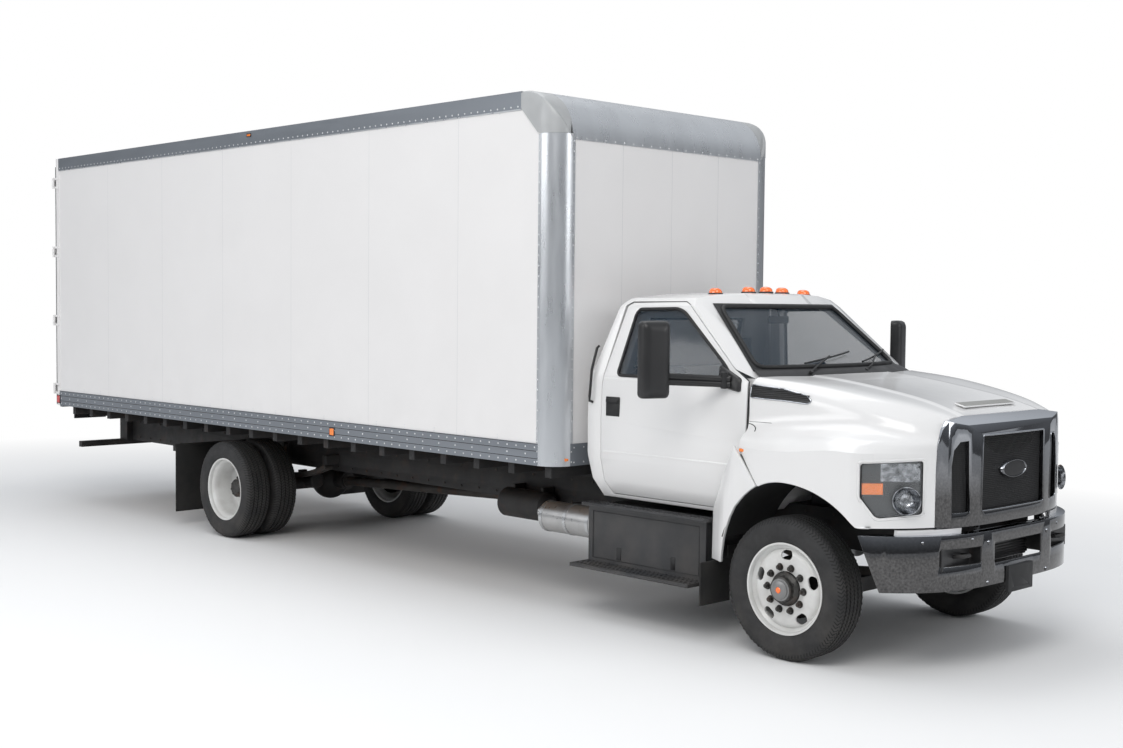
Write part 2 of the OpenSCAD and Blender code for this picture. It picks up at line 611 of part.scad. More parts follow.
// Heights and half widths of the hood at stations along X
crown_z = [[-400, 1812], [-50, 1790], [300, 1742], [600, 1688], [800, 1634], [880, 1606]];
crease_y = [[-400, 440], [300, 430], [600, 445], [880, 475]];
shoulder_y = [[-400, 945], [40, 885], [390, 825], [700, 735], [880, 655]];
shoulder_z = [[-400, 1796], [40, 1758], [390, 1702], [700, 1634], [880, 1572]];
waist_y = [[-400, 1012], [0, 985], [400, 945], [700, 868], [880, 748]];
waist_z = [[-400, 1470], [0, 1520], [400, 1535], [700, 1500], [880, 1470]];
flare_y = [[-400, 1110], [-200, 1160], [0, 1176], [520, 1176], [600, 1150]];
flare_z = [[-400, 1352], [0, 1360], [400, 1395], [880, 1385]];
function hood_edge(x) = x < part_low.x
    ? part_high.y + (part_low.y - part_high.y) * (x - part_high.x) / (part_low.x - part_high.x)
    : max(fender_low, arch_z(x));
// Right half of a section, from the middle of the hood down to the fender's edge
function hood_half(x, t) = let (fy = min(lookup(x, flare_y), nose_side(x)) - t) [
    [0, lookup(x, crown_z) - t],
    [lookup(x, crease_y), lookup(x, crown_z) - 4 - t],
    [lookup(x, shoulder_y) - 0.3 * t, lookup(x, shoulder_z) - t],
    [lookup(x, shoulder_y) * 0.35 + lookup(x, waist_y) * 0.65 - 0.8 * t,
        lookup(x, shoulder_z) - 62 - 0.6 * t],
    [min(lookup(x, waist_y), nose_side(x) - 4) - t, lookup(x, waist_z)],
    [fy - 0.25 * (fy - lookup(x, waist_y)), lookup(x, flare_z) + 50 - 0.5 * t],
    [fy, lookup(x, flare_z)],
    [fy, min(hood_edge(x), lookup(x, flare_z) - 2)]];
function hood_bow(x, y) = bowed(y) * lookup(x, [[hood_rear, 1], [0, 0]]);
function hood_point(x, p, s) = [x + hood_bow(x, p.x), s * p.x, p.y];
function hood_ring(x) = let (o = hood_half(x, 0), n = hood_half(x, hood_t), k = len(o)) concat(
    [for (i = [k - 1:-1:0]) hood_point(x, o[i], right)],
    [for (i = [1:k - 1]) hood_point(x, o[i], left)],
    [for (i = [k - 1:-1:0]) hood_point(x, n[i], left)],
    [for (i = [1:k - 1]) hood_point(x, n[i], right)]);
// A closed solid through rings with the same count of points
module loft(rings) {
    n = len(rings[0]);
    m = len(rings);
    sides = [for (j = [0:m - 2], i = [0:n - 1]) [j * n + i, j * n + (i + 1) % n,
        (j + 1) * n + (i + 1) % n, (j + 1) * n + i]];
    // The end caps join each outer point to the inner one across the shell
    caps = [for (j = [0, m - 1], i = [0:n / 2 - 2])
        let (a = j * n + i, b = j * n + i + 1, c = j * n + n - 2 - i, d = j * n + n - 1 - i)
        j == 0 ? [b, a, d, c] : [a, b, c, d]];
    polyhedron(concat([for (r = rings) each r]),
        [for (f = concat(sides, caps)) each [[f[0], f[1], f[2]], [f[0], f[2], f[3]]]], convexity = 6);
}
hood_stations = [-400, -300, -200, -100, 0, 150, 300, 420, 520, 580, 650, 720, 780, 830, hood_front];
lamp_turn = -50;
lamp_place = [719, -1019];
lamp_outline = [[-190, 1118], [-190, 1314], [-180, 1326], [186, 1342], [196, 1332], [196, 1028],
    [182, 1014], [-72, 992], [-100, 1002]];
// Cuts along the direction in which a headlight faces
module lamp_prism(grow) {
    translate([lamp_place.x, lamp_place.y, 0]) rotate([0, 0, lamp_turn])
        along(-110, 300) offset(delta = grow) polygon(lamp_outline);
}
module hood() color("#f4f4f2") {
    difference() {
        loft([for (x = hood_stations) hood_ring(x)]);
        both() lamp_prism(0);
    }
}
module nose_plan(inset, half) {
    ys = [for (i = [-16:16]) half * i / 16];
    polygon(concat([for (y = ys) [nose_face(y) - inset, y]], [[hood_front - 400, half], [hood_front - 400, -half]]));
}
surround_side = [[hood_front, 920], [1000, 920], [992, 1240], [975, 1480], [952, 1552], [hood_front, 1604]];
surround_half = [[-778, 920], [-780, 1200], [-765, 1440], [-735, 1530], [-690, 1580], [-475, 1606]];
module surround_block(inset) {
    intersection() {
        translate([0, 0, 900]) linear_extrude(760) nose_plan(inset, 790);
        across(-800, 800) offset(delta = -inset) polygon(surround_side);
        along(hood_front, 1050) offset(delta = -inset) polygon(mirrored(surround_half));
    }
}
main_grille = [[-395, 1006], [-388, 1483], [388, 1483], [395, 1006]];
side_grille = [[-655, 1010], [-665, 1300], [-650, 1400], [-600, 1450], [-520, 1455], [-505, 1010]];
module grille_cut() {
    polygon(main_grille);
    polygon(side_grille);
    mirror([1, 0]) polygon(side_grille);
}
module grille_surround() color("#c4c8cc") {
    difference() {
        translate([0.3, 0, 0]) surround_block(0);
        intersection() {
            translate([0, 0, 900]) linear_extrude(760) nose_plan(34, 745);
            across(-760, 760) polygon([[hood_front - 20, 945], [hood_front - 20, 1575], [930, 1540], [970, 945]]);
        }
        along(hood_front - 50, 1100) grille_cut();
    }
    // Hinge arms on the pins of the frame's horns
    both() difference() {
        across(-rail_y + 17, -rail_y + 31) union() {
            translate([hood_pivot.x - 9, hood_pivot.y]) square([18, 45]);
            translate(hood_pivot) circle(9);
        }
        translate([hood_pivot.x, -rail_y, hood_pivot.y]) rotate([-90, 0, 0])
            cylinder(h = 60, r = 6 + run_gap);
    }
}
module grille_mesh() color("#161616") {
    intersection() {
        translate([0, 0, 950]) linear_extrude(560) difference() { nose_plan(34 + fit, 740); nose_plan(44, 745); }
        along(hood_front + 2, 1100) union() {
            offset(delta = 8) polygon(main_grille);
            offset(delta = 8) polygon(side_grille);
            offset(delta = 8) mirror([1, 0]) polygon(side_grille);
        }
        across(-760, 760) polygon([[hood_front, 946], [hood_front, 1540], [928, 1536], [968, 946]]);
    }
}
module headlights() color("#cfd6da") both() {
    intersection() {
        lamp_prism(-0.4);
        linear_extrude(2000) difference() {
            polygon([for (i = [0:24]) let (y = -700 - i * 20) [nose_face(y) - 2, y], [400, -1180], [400, -700]]);
            polygon([for (i = [0:24]) let (y = -640 - i * 20) [nose_face(y) - 62, y + 40], [300, -1100], [300, -600]]);
        }
    }
}

// ---------------------------------------------------------------- cab doors
// A sheet that follows the cab's side, from one depth to another below its surface
module side_sheet(d0, d1) {
    side_curve = [for (i = [2:len(cab_half) - 3]) cab_half[i]];
    along(-2000, -300) polygon(concat([for (p = side_curve) p + [d0, 0]],
        [for (i = [len(side_curve) - 1:-1:0]) side_curve[i] + [d1, 0]]));
}
// Its skin laps the opening's edge; the rest stands back so that it clears as it swings
door_skin = 20;
door_inset = 30;
module door_leaf(side) color("#f4f4f2") on_side(side) difference() {
    union() {
        intersection() {
            side_sheet(0, door_skin);
            across(-1100, -600) polygon(door_outline);
        }
        intersection() {
            side_sheet(door_skin - 1, door_t);
            across(-1100, -600) offset(delta = -door_inset) polygon(door_outline);
        }
        translate([0, 0, door_hinge_z[0]]) linear_extrude(door_hinge_z[1] - door_hinge_z[0])
            polygon([[-470, -1012], [-430, -1019], [door_pin_at.x - 6, door_pin_at.y - 8],
                [door_pin_at.x + 6, door_pin_at.y + 8], [-421, -1002], [-470, -995]]);
        hinge_pin(door_hinge_z[0], door_hinge_z[1], 12);
    }
    across(-1100, -600) polygon(window_outline);
    hinge_pin(door_hinge_z[0] - 1, door_hinge_z[1] + 1, door_pin_r + run_gap);
}
module door_glass(side) color("#5d7077", 0.45) on_side(side) intersection() {
    side_sheet(18, 18 + glass_t);
    across(-1100, -600) offset(delta = -fit) polygon(window_outline);
}
mirror_at = [-840, -1450];
mirror_turn = -20;
module mirror_arm(side) color("#19191b") on_side(side) {
    translate([mirror_at.x, mirror_at.y, 0]) rotate([0, 0, mirror_turn]) intersection() {
        along(-45, 40) rounded([-108, 1655], [108, 2172], 32);
        across(-200, 200) rounded([-45, 1650], [40, 2180], 22);
    }
    // Twin tube arm and its foot on the door's front corner
    for (z = [1765, 1805]) rod([-560, -1018, z], [mirror_at.x + 10, mirror_at.y + 60, z], 15);
    difference() {
        across(-1036, -960) polygon([[-500, 1700], [-640, 1745], [-600, 1795], [-540, 1830], [-500, 1800]]);
        cab_block(-fit);
    }
}

// ---------------------------------------------------------------- steering and wheels
ear_gap = 3;
hub_front_y = 905;
module knuckle(side) color("#2a2a2c") on_side(side) {
    for (z = [axle_z - axle_boss_h / 2 - ear_gap - 24, axle_z + axle_boss_h / 2 + ear_gap])
        translate([0, 0, z]) {
            translate([0, -kingpin_y, 0]) cylinder(h = 24, r = 44);
            span([-40, -hub_front_y, 0], [40, -kingpin_y, 24]);
        }
    translate([0, -kingpin_y, axle_z - 85]) cylinder(h = 170, r = kingpin_r);
    span([-60, -hub_front_y - 15, axle_z - 95], [60, -hub_front_y + 2, axle_z + 95]);
    rod([0, -hub_front_y - 14, axle_z], [0, -1090, axle_z], spindle_r);
    // Steering arm to the tie rod behind the axle
    span([-200, -kingpin_y - 15, axle_z - 111], [-30, -kingpin_y + 15, axle_z - 87]);
    translate([-200, -kingpin_y, axle_z - 111]) cylinder(h = 24, r = 24);
}
tie_y = kingpin_y;
module tie_rod() color("#2a2a2c") {
    z = axle_z - 127.4;
    rod([-200, -tie_y, z], [-200, tie_y, z], 14);
    both() translate([-200, -tie_y, z - 14]) cylinder(h = 30, r = 20);
}
wheel_tilt = 26;
module steering_wheel() color("#2b2e33") {
    hub = [-905.4, 380, 1660.2];
    translate(hub) rotate([0, -90 + wheel_tilt, 0]) {
        translate([0, 0, 36]) rotate_extrude($fn = 64) translate([205, 0]) circle(15, $fn = 24);
        cylinder(h = 46, r = 55);
        for (a = [90, 210, 330]) rotate([0, 0, a]) span([0, -18, 28], [205, 18, 42]);
    }
}
// Half profile of a tyre in radius and width
module tyre_profile() {
    hw = tyre_w / 2;
    bead = rim_d / 2;
    polygon([[bead, -hw + 31], [bead + 14, -hw + 24.5], [bead + 60, -hw], [tyre_r - 62, -hw],
        [tyre_r - 18, -hw + 14], [tyre_r, -hw + 32], [tyre_r, hw - 32], [tyre_r - 18, hw - 14],
        [tyre_r - 62, hw], [bead + 60, hw], [bead + 14, hw - 24.5], [bead, hw - 31]]);
}
module tyre(x, y) color("#1b1b1c") turned(x, axle_z) translate([0, y]) tyre_profile();
rim_half = tyre_w / 2 - 15.5;
// Rim profile: well, flanges and a disc at the offset asked for
module rim_profile(disc) {
    bead = rim_d / 2;
    polygon([[bead - 10, -rim_half], [bead + 13, -rim_half], [bead + 13, -rim_half + 8],
        [bead - 0.3, -rim_half + 12], [bead - 0.3, rim_half - 12], [bead + 13, rim_half - 8],
        [bead + 13, rim_half], [bead - 10, rim_half], [bead - 14, 60], [bead - 40, 40], [bead - 40, -40],
        [bead - 14, -60]]);
    polygon([[bead - 39, disc < 0 ? disc + 62 : disc - 62], [bead - 39, disc < 0 ? disc + 40 : disc - 40],
        [170, disc - 6], [110.5, disc - 6], [110.5, disc + 6], [170, disc + 6]]);
}
module front_rim(side) color("#efefee") on_side(side) {
    y = -front_tyre_y;
    difference() {
        turned(0, axle_z) translate([0, y]) rim_profile(-88);
        for (a = [0:36:324]) rotate_about_axle(0, a) rod([205, y - 130, 0], [205, y - 20, 0], 20);
    }
    // Hub and brake drum
    turned(0, axle_z) difference() {
        polygon([[0, -1185], [48, -1185], [60, -1170], [62, -1120], [110, -1105], [110, -1000], [205, -1000],
            [205, -928], [120, -928], [120, -925], [0, -925]]);
        translate([0, -1095]) square([spindle_r + run_gap, 200]);
        translate([-1, -1200]) square([1, 300]);
    }
}
module rotate_about_axle(x, a) { translate([x, 0, axle_z]) rotate([0, a, 0]) children(); }
module rear_rims(side) color("#efefee") on_side(side) {
    for (k = [0, 1]) difference() {
        y = -rear_tyre_y + k * dual_spacing;
        disc = (k == 0 ? 1 : -1) * (dual_spacing / 2 - 7);
        turned(-wheelbase, axle_z) translate([0, y]) rim_profile_deep(disc);
        for (a = [0:36:324]) rotate_about_axle(-wheelbase, a)
            rod([205, -rear_hub_y - 60, 0], [205, -rear_hub_y + 60, 0], 20);
    }
    turned(-wheelbase, axle_z) difference() {
        polygon([[0, -rear_hub_y - 165], [80, -rear_hub_y - 165], [92, -rear_hub_y - 150],
            [92, -rear_hub_y - 40], [110, -rear_hub_y - 14], [110, -rear_hub_y + 14], [110, -rear_hub_y + 60],
            [200, -rear_hub_y + 60], [200, -700], [120, -700], [0, -700]]);
        translate([0, -rear_hub_y - 70]) square([spindle_r + run_gap, 500]);
        translate([0, -720]) square([80, 60]);
        translate([-1, -rear_hub_y - 200]) square([1, 600]);
    }
}
// Rear rim with its disc carried past the flange to the face between the twins
module rim_profile_deep(disc) {
    bead = rim_d / 2;
    s = sign(disc);
    polygon([[bead - 10, -rim_half], [bead + 13, -rim_half], [bead + 13, -rim_half + 8],
        [bead - 0.3, -rim_half + 12], [bead - 0.3, rim_half - 12], [bead + 13, rim_half - 8],
        [bead + 13, rim_half], [bead - 10, rim_half], [bead - 14, 60], [bead - 40, 40], [bead - 40, -40],
        [bead - 14, -60]]);
    polygon([[bead - 39, s * 36], [bead - 39, s * 20], [bead - 60, s * 90], [190, disc - s * 6],
        [110.5, disc - s * 6], [110.5, disc + s * 6], [196, disc + s * 6], [bead - 48, s * 100]]);
}

placed() frame();
placed() front_axle();
placed() rear_axle();
placed() leaf_springs();
placed() driveshaft();
placed() engine();
placed() front_bumper();
placed() exhaust_canister();
placed() side_box();
placed() fuel_tank();
placed() mudflaps();
placed() rear_bumper();
placed() cab_shell();
placed() cab_glass();
placed() cowl();
placed() cowl_sides();
placed() dashboard();
placed() seats();
placed() cargo_floor();
placed() floor_sills();
placed() cargo_sides();
placed() cargo_front();
placed() cargo_roof();
placed() bottom_rails();
placed() top_rails();
placed() corner_posts();
placed() nose_roll();
placed() corner_caps();
placed() rear_frame();
placed() hood();
placed() grille_surround();
placed() grille_mesh();
placed() headlights();
placed() door_leaf(right);  // door_right
placed() door_glass(right);  // door_glass_right
placed() mirror_arm(right);  // mirror_right
placed() door_leaf(left);  // door_left
placed() door_glass(left);  // door_glass_left
placed() mirror_arm(left);  // mirror_left
placed() knuckle(right);  // knuckle_right
placed() knuckle(left);  // knuckle_left
placed() tie_rod();
placed() steering_wheel();
placed() front_rim(right);  // front_rim_right
placed() tyre(0, right * front_tyre_y);  // front_tyre_right
placed() front_rim(left);  // front_rim_left
placed() tyre(0, left * front_tyre_y);  // front_tyre_left
placed() rear_rims(right);  // rear_rims_right
placed() for (k = [0, 1]) tyre(-wheelbase, right * (rear_tyre_y - k * dual_spacing));  // rear_tyres_right
placed() rear_rims(left);  // rear_rims_left
placed() for (k = [0, 1]) tyre(-wheelbase, left * (rear_tyre_y - k * dual_spacing));  // rear_tyres_left
placed() cargo_door(right);  // cargo_door_right
placed() cargo_door(left);  // cargo_door_left
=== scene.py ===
"""Looks of the box truck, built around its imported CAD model."""
import bpy
import bmesh
import json
import math
import random
from mathutils import Matrix, Vector


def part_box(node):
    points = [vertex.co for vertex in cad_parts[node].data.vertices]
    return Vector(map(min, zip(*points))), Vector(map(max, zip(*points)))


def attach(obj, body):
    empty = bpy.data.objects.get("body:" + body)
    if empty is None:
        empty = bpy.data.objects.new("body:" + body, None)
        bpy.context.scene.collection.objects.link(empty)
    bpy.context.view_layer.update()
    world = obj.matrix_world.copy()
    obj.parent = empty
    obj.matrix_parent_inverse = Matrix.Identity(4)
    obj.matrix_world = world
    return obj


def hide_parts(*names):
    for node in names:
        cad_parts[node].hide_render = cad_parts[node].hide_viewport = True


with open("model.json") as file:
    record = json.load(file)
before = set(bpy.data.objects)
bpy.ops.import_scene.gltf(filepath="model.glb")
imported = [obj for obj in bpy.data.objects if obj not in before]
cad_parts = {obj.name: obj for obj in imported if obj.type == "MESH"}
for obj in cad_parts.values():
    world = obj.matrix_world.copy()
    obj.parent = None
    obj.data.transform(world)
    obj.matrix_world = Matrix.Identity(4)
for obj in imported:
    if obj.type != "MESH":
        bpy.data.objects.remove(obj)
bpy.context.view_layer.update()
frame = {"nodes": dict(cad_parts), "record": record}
random.seed(7)
scene = bpy.context.scene
_lo, _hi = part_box("front_tyre_right")
ORIGIN_X = (_lo[0] + _hi[0]) / 2  # the front axle; every length below is in mm from it
RECORD = frame["record"]
NODE_SLOT = {p["node"]: p["material_slot"] for p in RECORD["subparts"]}
CHASSIS, HOOD = "chassis", "hood_assembly"


def at(p):
    return Vector((p[0] / 1000 + ORIGIN_X, p[1] / 1000, p[2] / 1000))


def lerp(a, b, t):
    return a + (b - a) * t


def table(x, pts):
    """Smooth monotone curve through a table of points."""
    if x <= pts[0][0]:
        return pts[0][1]
    if x >= pts[-1][0]:
        return pts[-1][1]
    n = len(pts)
    d = [(pts[i + 1][1] - pts[i][1]) / (pts[i + 1][0] - pts[i][0]) for i in range(n - 1)]
    m = [d[0]] + [0 if d[i - 1] * d[i] <= 0 else 2 * d[i - 1] * d[i] / (d[i - 1] + d[i]) for i in range(1, n - 1)] + [d[-1]]
    for i in range(n - 1):
        if x <= pts[i + 1][0]:
            h = pts[i + 1][0] - pts[i][0]
            t = (x - pts[i][0]) / h
            return ((2 * t**3 - 3 * t**2 + 1) * pts[i][1] + (t**3 - 2 * t**2 + t) * h * m[i]
                    + (3 * t**2 - 2 * t**3) * pts[i + 1][1] + (t**3 - t**2) * h * m[i + 1])


# ------------------------------------------------------------ materials
def material(name, colour, rough, metal=0.0, coat=0.0, vary=0.04, scale=2.0, bump=0.05, bump_scale=60.0,
             dirt=0.0, dirt_top=1.3, alpha=1.0, emit=0.0, rust=0.0, stretch=None, painted_road_reflection=None, tread=False):
    m = bpy.data.materials.new(name)
    m.use_nodes = True
    nt = m.node_tree
    b = nt.nodes["Principled BSDF"]
    tc = nt.nodes.new("ShaderNodeTexCoord")
    src = tc.outputs["Object"]
    if stretch:
        mp = nt.nodes.new("ShaderNodeMapping")
        mp.inputs["Scale"].default_value = stretch
        nt.links.new(src, mp.inputs["Vector"])
        src = mp.outputs["Vector"]

    def noise(s, detail=4.0):
        n = nt.nodes.new("ShaderNodeTexNoise")
        n.inputs["Scale"].default_value = s
        n.inputs["Detail"].default_value = detail
        nt.links.new(src, n.inputs["Vector"])
        return n.outputs["Fac"]

    def remap(fac, lo, hi, a=0.3, z=0.7):
        r = nt.nodes.new("ShaderNodeMapRange")
        for key, v in (("From Min", a), ("From Max", z), ("To Min", lo), ("To Max", hi)):
            r.inputs[key].default_value = v
        nt.links.new(fac, r.inputs["Value"])
        return r.outputs["Result"]

    def mix(fac, a, z):
        x = nt.nodes.new("ShaderNodeMix")
        x.data_type = "RGBA"
        nt.links.new(fac, x.inputs[0])
        for sock, v in ((x.inputs[6], a), (x.inputs[7], z)):
            if isinstance(v, tuple):
                sock.default_value = (*v, 1)
            else:
                nt.links.new(v, sock)
        return x.outputs[2]

    low = tuple(c * (1 - vary) for c in colour)
    high = tuple(min(1, c * (1 + vary)) for c in colour)
    col = mix(remap(noise(scale), 0, 1), low, high)
    if dirt:
        sep = nt.nodes.new("ShaderNodeSeparateXYZ")
        nt.links.new(tc.outputs["Object"], sep.inputs[0])
        height = remap(sep.outputs["Z"], 1.0, 0.0, 0.15, dirt_top)
        mul = nt.nodes.new("ShaderNodeMath")
        mul.operation = "MULTIPLY"
        nt.links.new(height, mul.inputs[0])
        nt.links.new(remap(noise(5.0, 8.0), 0.0, dirt, 0.35, 0.75), mul.inputs[1])
        col = mix(mul.outputs[0], col, (0.20, 0.175, 0.15))
    if rust:
        col = mix(remap(noise(9.0, 8.0), 0, rust, 0.52, 0.72), col, (0.16, 0.07, 0.035))
    def math_node(kind, p, q=0.0):
        n = nt.nodes.new("ShaderNodeMath")
        n.operation = kind
        for sock, v in zip(n.inputs, (p, q)):
            if isinstance(v, float):
                sock.default_value = v
            else:
                nt.links.new(v, sock)
        return n.outputs[0]

    if painted_road_reflection:
        # Painted reflection: polished faces that stand upright or look down get the dark of the road painted into their
        # colour
        way = nt.nodes.new("ShaderNodeSeparateXYZ")
        place = nt.nodes.new("ShaderNodeSeparateXYZ")
        nt.links.new(nt.nodes.new("ShaderNodeNewGeometry").outputs["Normal"], way.inputs[0])
        nt.links.new(tc.outputs["Object"], place.inputs[0])
        lit = math_node("MAXIMUM", remap(way.outputs["Z"], 0, 1, 0.04, 0.5), remap(place.outputs["Z"], 0, 0.7, 1.1, 1.62))
        col = mix(lit, mix(remap(noise(70.0, 8.0), 0, 1), tuple(c * 0.7 for c in painted_road_reflection), tuple(c * 1.4 for c in painted_road_reflection)), col)
    relief = None
    if tread:
        # Sipes across the tread, from the angle around each tyre's axle; painted shade darkens the colour of their
        # grooves
        box = nt.nodes.new("ShaderNodeSeparateXYZ")
        nt.links.new(tc.outputs["Generated"], box.inputs[0])
        px, pz = math_node("SUBTRACT", box.outputs["X"], 0.5), math_node("SUBTRACT", box.outputs["Z"], 0.5)
        turn = math_node("MULTIPLY", math_node("ARCTAN2", pz, px), 110.0)
        skew = math_node("MULTIPLY", math_node("PINGPONG", box.outputs["Y"], 0.06), 90.0)
        sipe = remap(math_node("SINE", math_node("ADD", turn, skew)), 0, 1, 0.15, 0.6)
        far = math_node("SQRT", math_node("ADD", math_node("MULTIPLY", px, px), math_node("MULTIPLY", pz, pz)))
        relief = math_node("MULTIPLY", sipe, remap(far, 0, 1, 0.452, 0.462))
        # Painted shade: the sipes are darkened in colour
        col = mix(relief, col, (0.006, 0.006, 0.006))
    nt.links.new(col, b.inputs["Base Color"])
    spread = min(0.07, 0.01 + 0.8 * vary)
    nt.links.new(remap(noise(scale * 4), max(0.02, rough - spread), min(1, rough + spread)), b.inputs["Roughness"])
    b.inputs["Metallic"].default_value = metal
    b.inputs["Coat Weight"].default_value = coat
    b.inputs["Coat Roughness"].default_value = 0.08
    b.inputs["Alpha"].default_value = alpha
    if emit:
        b.inputs["Emission Color"].default_value = (*colour, 1)
        b.inputs["Emission Strength"].default_value = emit
    if bump:
        bp = nt.nodes.new("ShaderNodeBump")
        bp.inputs["Strength"].default_value = bump
        bp.inputs["Distance"].default_value = 0.002
        height = noise(bump_scale, 6.0)
        if relief:
            height = math_node("SUBTRACT", height, math_node("MULTIPLY", relief, 3.0))
        nt.links.new(height, bp.inputs["Height"])
        nt.links.new(bp.outputs["Normal"], b.inputs["Normal"])
    return m


MAT = {
    "cab_white": material("cab_white", (0.78, 0.775, 0.772), 0.26, coat=0.5, vary=0.004, bump=0.002, bump_scale=3, dirt=0.012, dirt_top=1.1),
    "body_white": material("body_white", (0.80, 0.788, 0.784), 0.36, coat=0.2, vary=0.012, bump=0.012, bump_scale=6, dirt=0.10, dirt_top=1.9),
    "wheel_white": material("wheel_white", (0.70, 0.70, 0.685), 0.38, coat=0.3, vary=0.05, scale=6, dirt=0.35, dirt_top=1.1, rust=0.12),
    "chassis_black": material("chassis_black", (0.012, 0.012, 0.013), 0.60, vary=0.3, bump=0.25, bump_scale=90, dirt=0.12, dirt_top=1.3, rust=0.10),
    "box_black": material("box_black", (0.03, 0.031, 0.034), 0.42, vary=0.2, bump=0.12, dirt=0.30, dirt_top=1.1),
    "spring_steel": material("spring_steel", (0.05, 0.047, 0.045), 0.6, metal=0.5, vary=0.2, bump=0.3, rust=0.5, dirt=0.3),
    "engine_iron": material("engine_iron", (0.06, 0.06, 0.065), 0.6, metal=0.4, vary=0.25, bump=0.4, bump_scale=35),
    # chrome_trim's colour carries a painted reflection of the road
    "chrome_trim": material("chrome_trim", (0.58, 0.60, 0.64), 0.07, metal=1.0, vary=0.02, bump=0.012, bump_scale=12, dirt=0.10, dirt_top=0.9, painted_road_reflection=(0.10, 0.098, 0.098)),
    "exhaust_steel": material("exhaust_steel", (0.50, 0.50, 0.50), 0.34, metal=0.9, vary=0.12, scale=7, bump=0.05, dirt=0.35, dirt_top=1.0),
    "tank_aluminium": material("tank_aluminium", (0.55, 0.56, 0.57), 0.30, metal=0.9, vary=0.06, bump=0.04, dirt=0.2, dirt_top=0.9),
    "rail_aluminium": material("rail_aluminium", (0.235, 0.255, 0.282), 0.42, metal=0.55, vary=0.05, bump=0.05, stretch=(0.3, 1, 4), dirt=0.12, dirt_top=1.5),
    "post_aluminium": material("post_aluminium", (0.58, 0.60, 0.625), 0.30, metal=0.75, vary=0.05, bump=0.05, stretch=(2, 2, 0.3)),
    "roof_aluminium": material("roof_aluminium", (0.60, 0.61, 0.62), 0.42, metal=0.6, vary=0.05, bump=0.1, bump_scale=3),
    "cap_casting": material("cap_casting", (0.44, 0.45, 0.455), 0.50, metal=0.35, vary=0.06, scale=8, bump=0.12, bump_scale=120),
    "flap_rubber": material("flap_rubber", (0.012, 0.012, 0.012), 0.80, vary=0.3, bump=0.2, dirt=0.12, dirt_top=0.9),
    "tyre": material("tyre", (0.022, 0.022, 0.023), 0.74, vary=0.25, scale=12, bump=0.30, bump_scale=140, dirt=0.18, dirt_top=0.9, tread=True),
    "trim_black": material("trim_black", (0.018, 0.018, 0.019), 0.40, vary=0.2, bump=0.12, bump_scale=200),
    "interior_grey": material("interior_grey", (0.14, 0.155, 0.175), 0.62, vary=0.1, bump=0.3, bump_scale=180),
    "seat_fabric": material("seat_fabric", (0.22, 0.24, 0.26), 0.85, vary=0.12, scale=30, bump=0.6, bump_scale=320),
    "floor_wood": material("floor_wood", (0.27, 0.16, 0.08), 0.55, vary=0.25, scale=3, bump=0.2, bump_scale=20, stretch=(0.4, 9, 1)),
    "window_glass": material("window_glass", (0.008, 0.030, 0.055), 0.03, coat=1.0, vary=0.05, bump=0, alpha=0.34),
    "lamp_glass": material("lamp_glass", (0.62, 0.65, 0.67), 0.03, coat=1.0, vary=0.02, bump=0, alpha=0.10),
}
AMBER = material("lamp_amber", (0.85, 0.20, 0.01), 0.15, coat=1.0, vary=0.1, scale=40, bump=0.2, bump_scale=90, emit=0.12)
ORANGE = material("lamp_orange", (0.90, 0.16, 0.015), 0.15, coat=1.0, vary=0.1, scale=40, bump=0.2, bump_scale=90, emit=0.15)
RED = material("lamp_red", (0.55, 0.012, 0.01), 0.18, coat=1.0, vary=0.1, scale=40, bump=0.2, bump_scale=90, emit=0.05)
DARK_AMBER = material("lamp_dark_amber", (0.22, 0.06, 0.02), 0.2, coat=1.0, vary=0.15, scale=40, bump=0.1)
NUT = material("nut_steel", (0.07, 0.068, 0.065), 0.45, metal=0.7, vary=0.3, scale=30, bump=0.2, rust=0.25)
CAP_GREY = material("hub_cap_grey", (0.25, 0.25, 0.25), 0.4, metal=0.5, vary=0.15, scale=15, bump=0.1)
RUBBER = material("seal_rubber", (0.012, 0.012, 0.013), 0.55, vary=0.2, bump=0.1, bump_scale=150)
MIRROR = material("mirror_glass", (0.55, 0.60, 0.63), 0.03, metal=1.0, vary=0.02, bump=0)
LAMP_METAL = material("lamp_reflector", (0.36, 0.37, 0.39), 0.12, metal=1.0, vary=0.85, scale=26, bump=0.9, bump_scale=34)
RIVET = material("rivet_metal", (0.72, 0.73, 0.75), 0.35, metal=0.4, vary=0.15, scale=60, bump=0.05)
HEADLINER = material("headliner", (0.30, 0.30, 0.29), 0.85, vary=0.05, bump=0.3, bump_scale=250)
PLATE = material("blank_plate", (0.012, 0.012, 0.013), 0.6, vary=0.15, bump=0.08)
for name, node in frame["nodes"].items():
    node.data.materials.clear()
    node.data.materials.append(MAT[NODE_SLOT[name]])


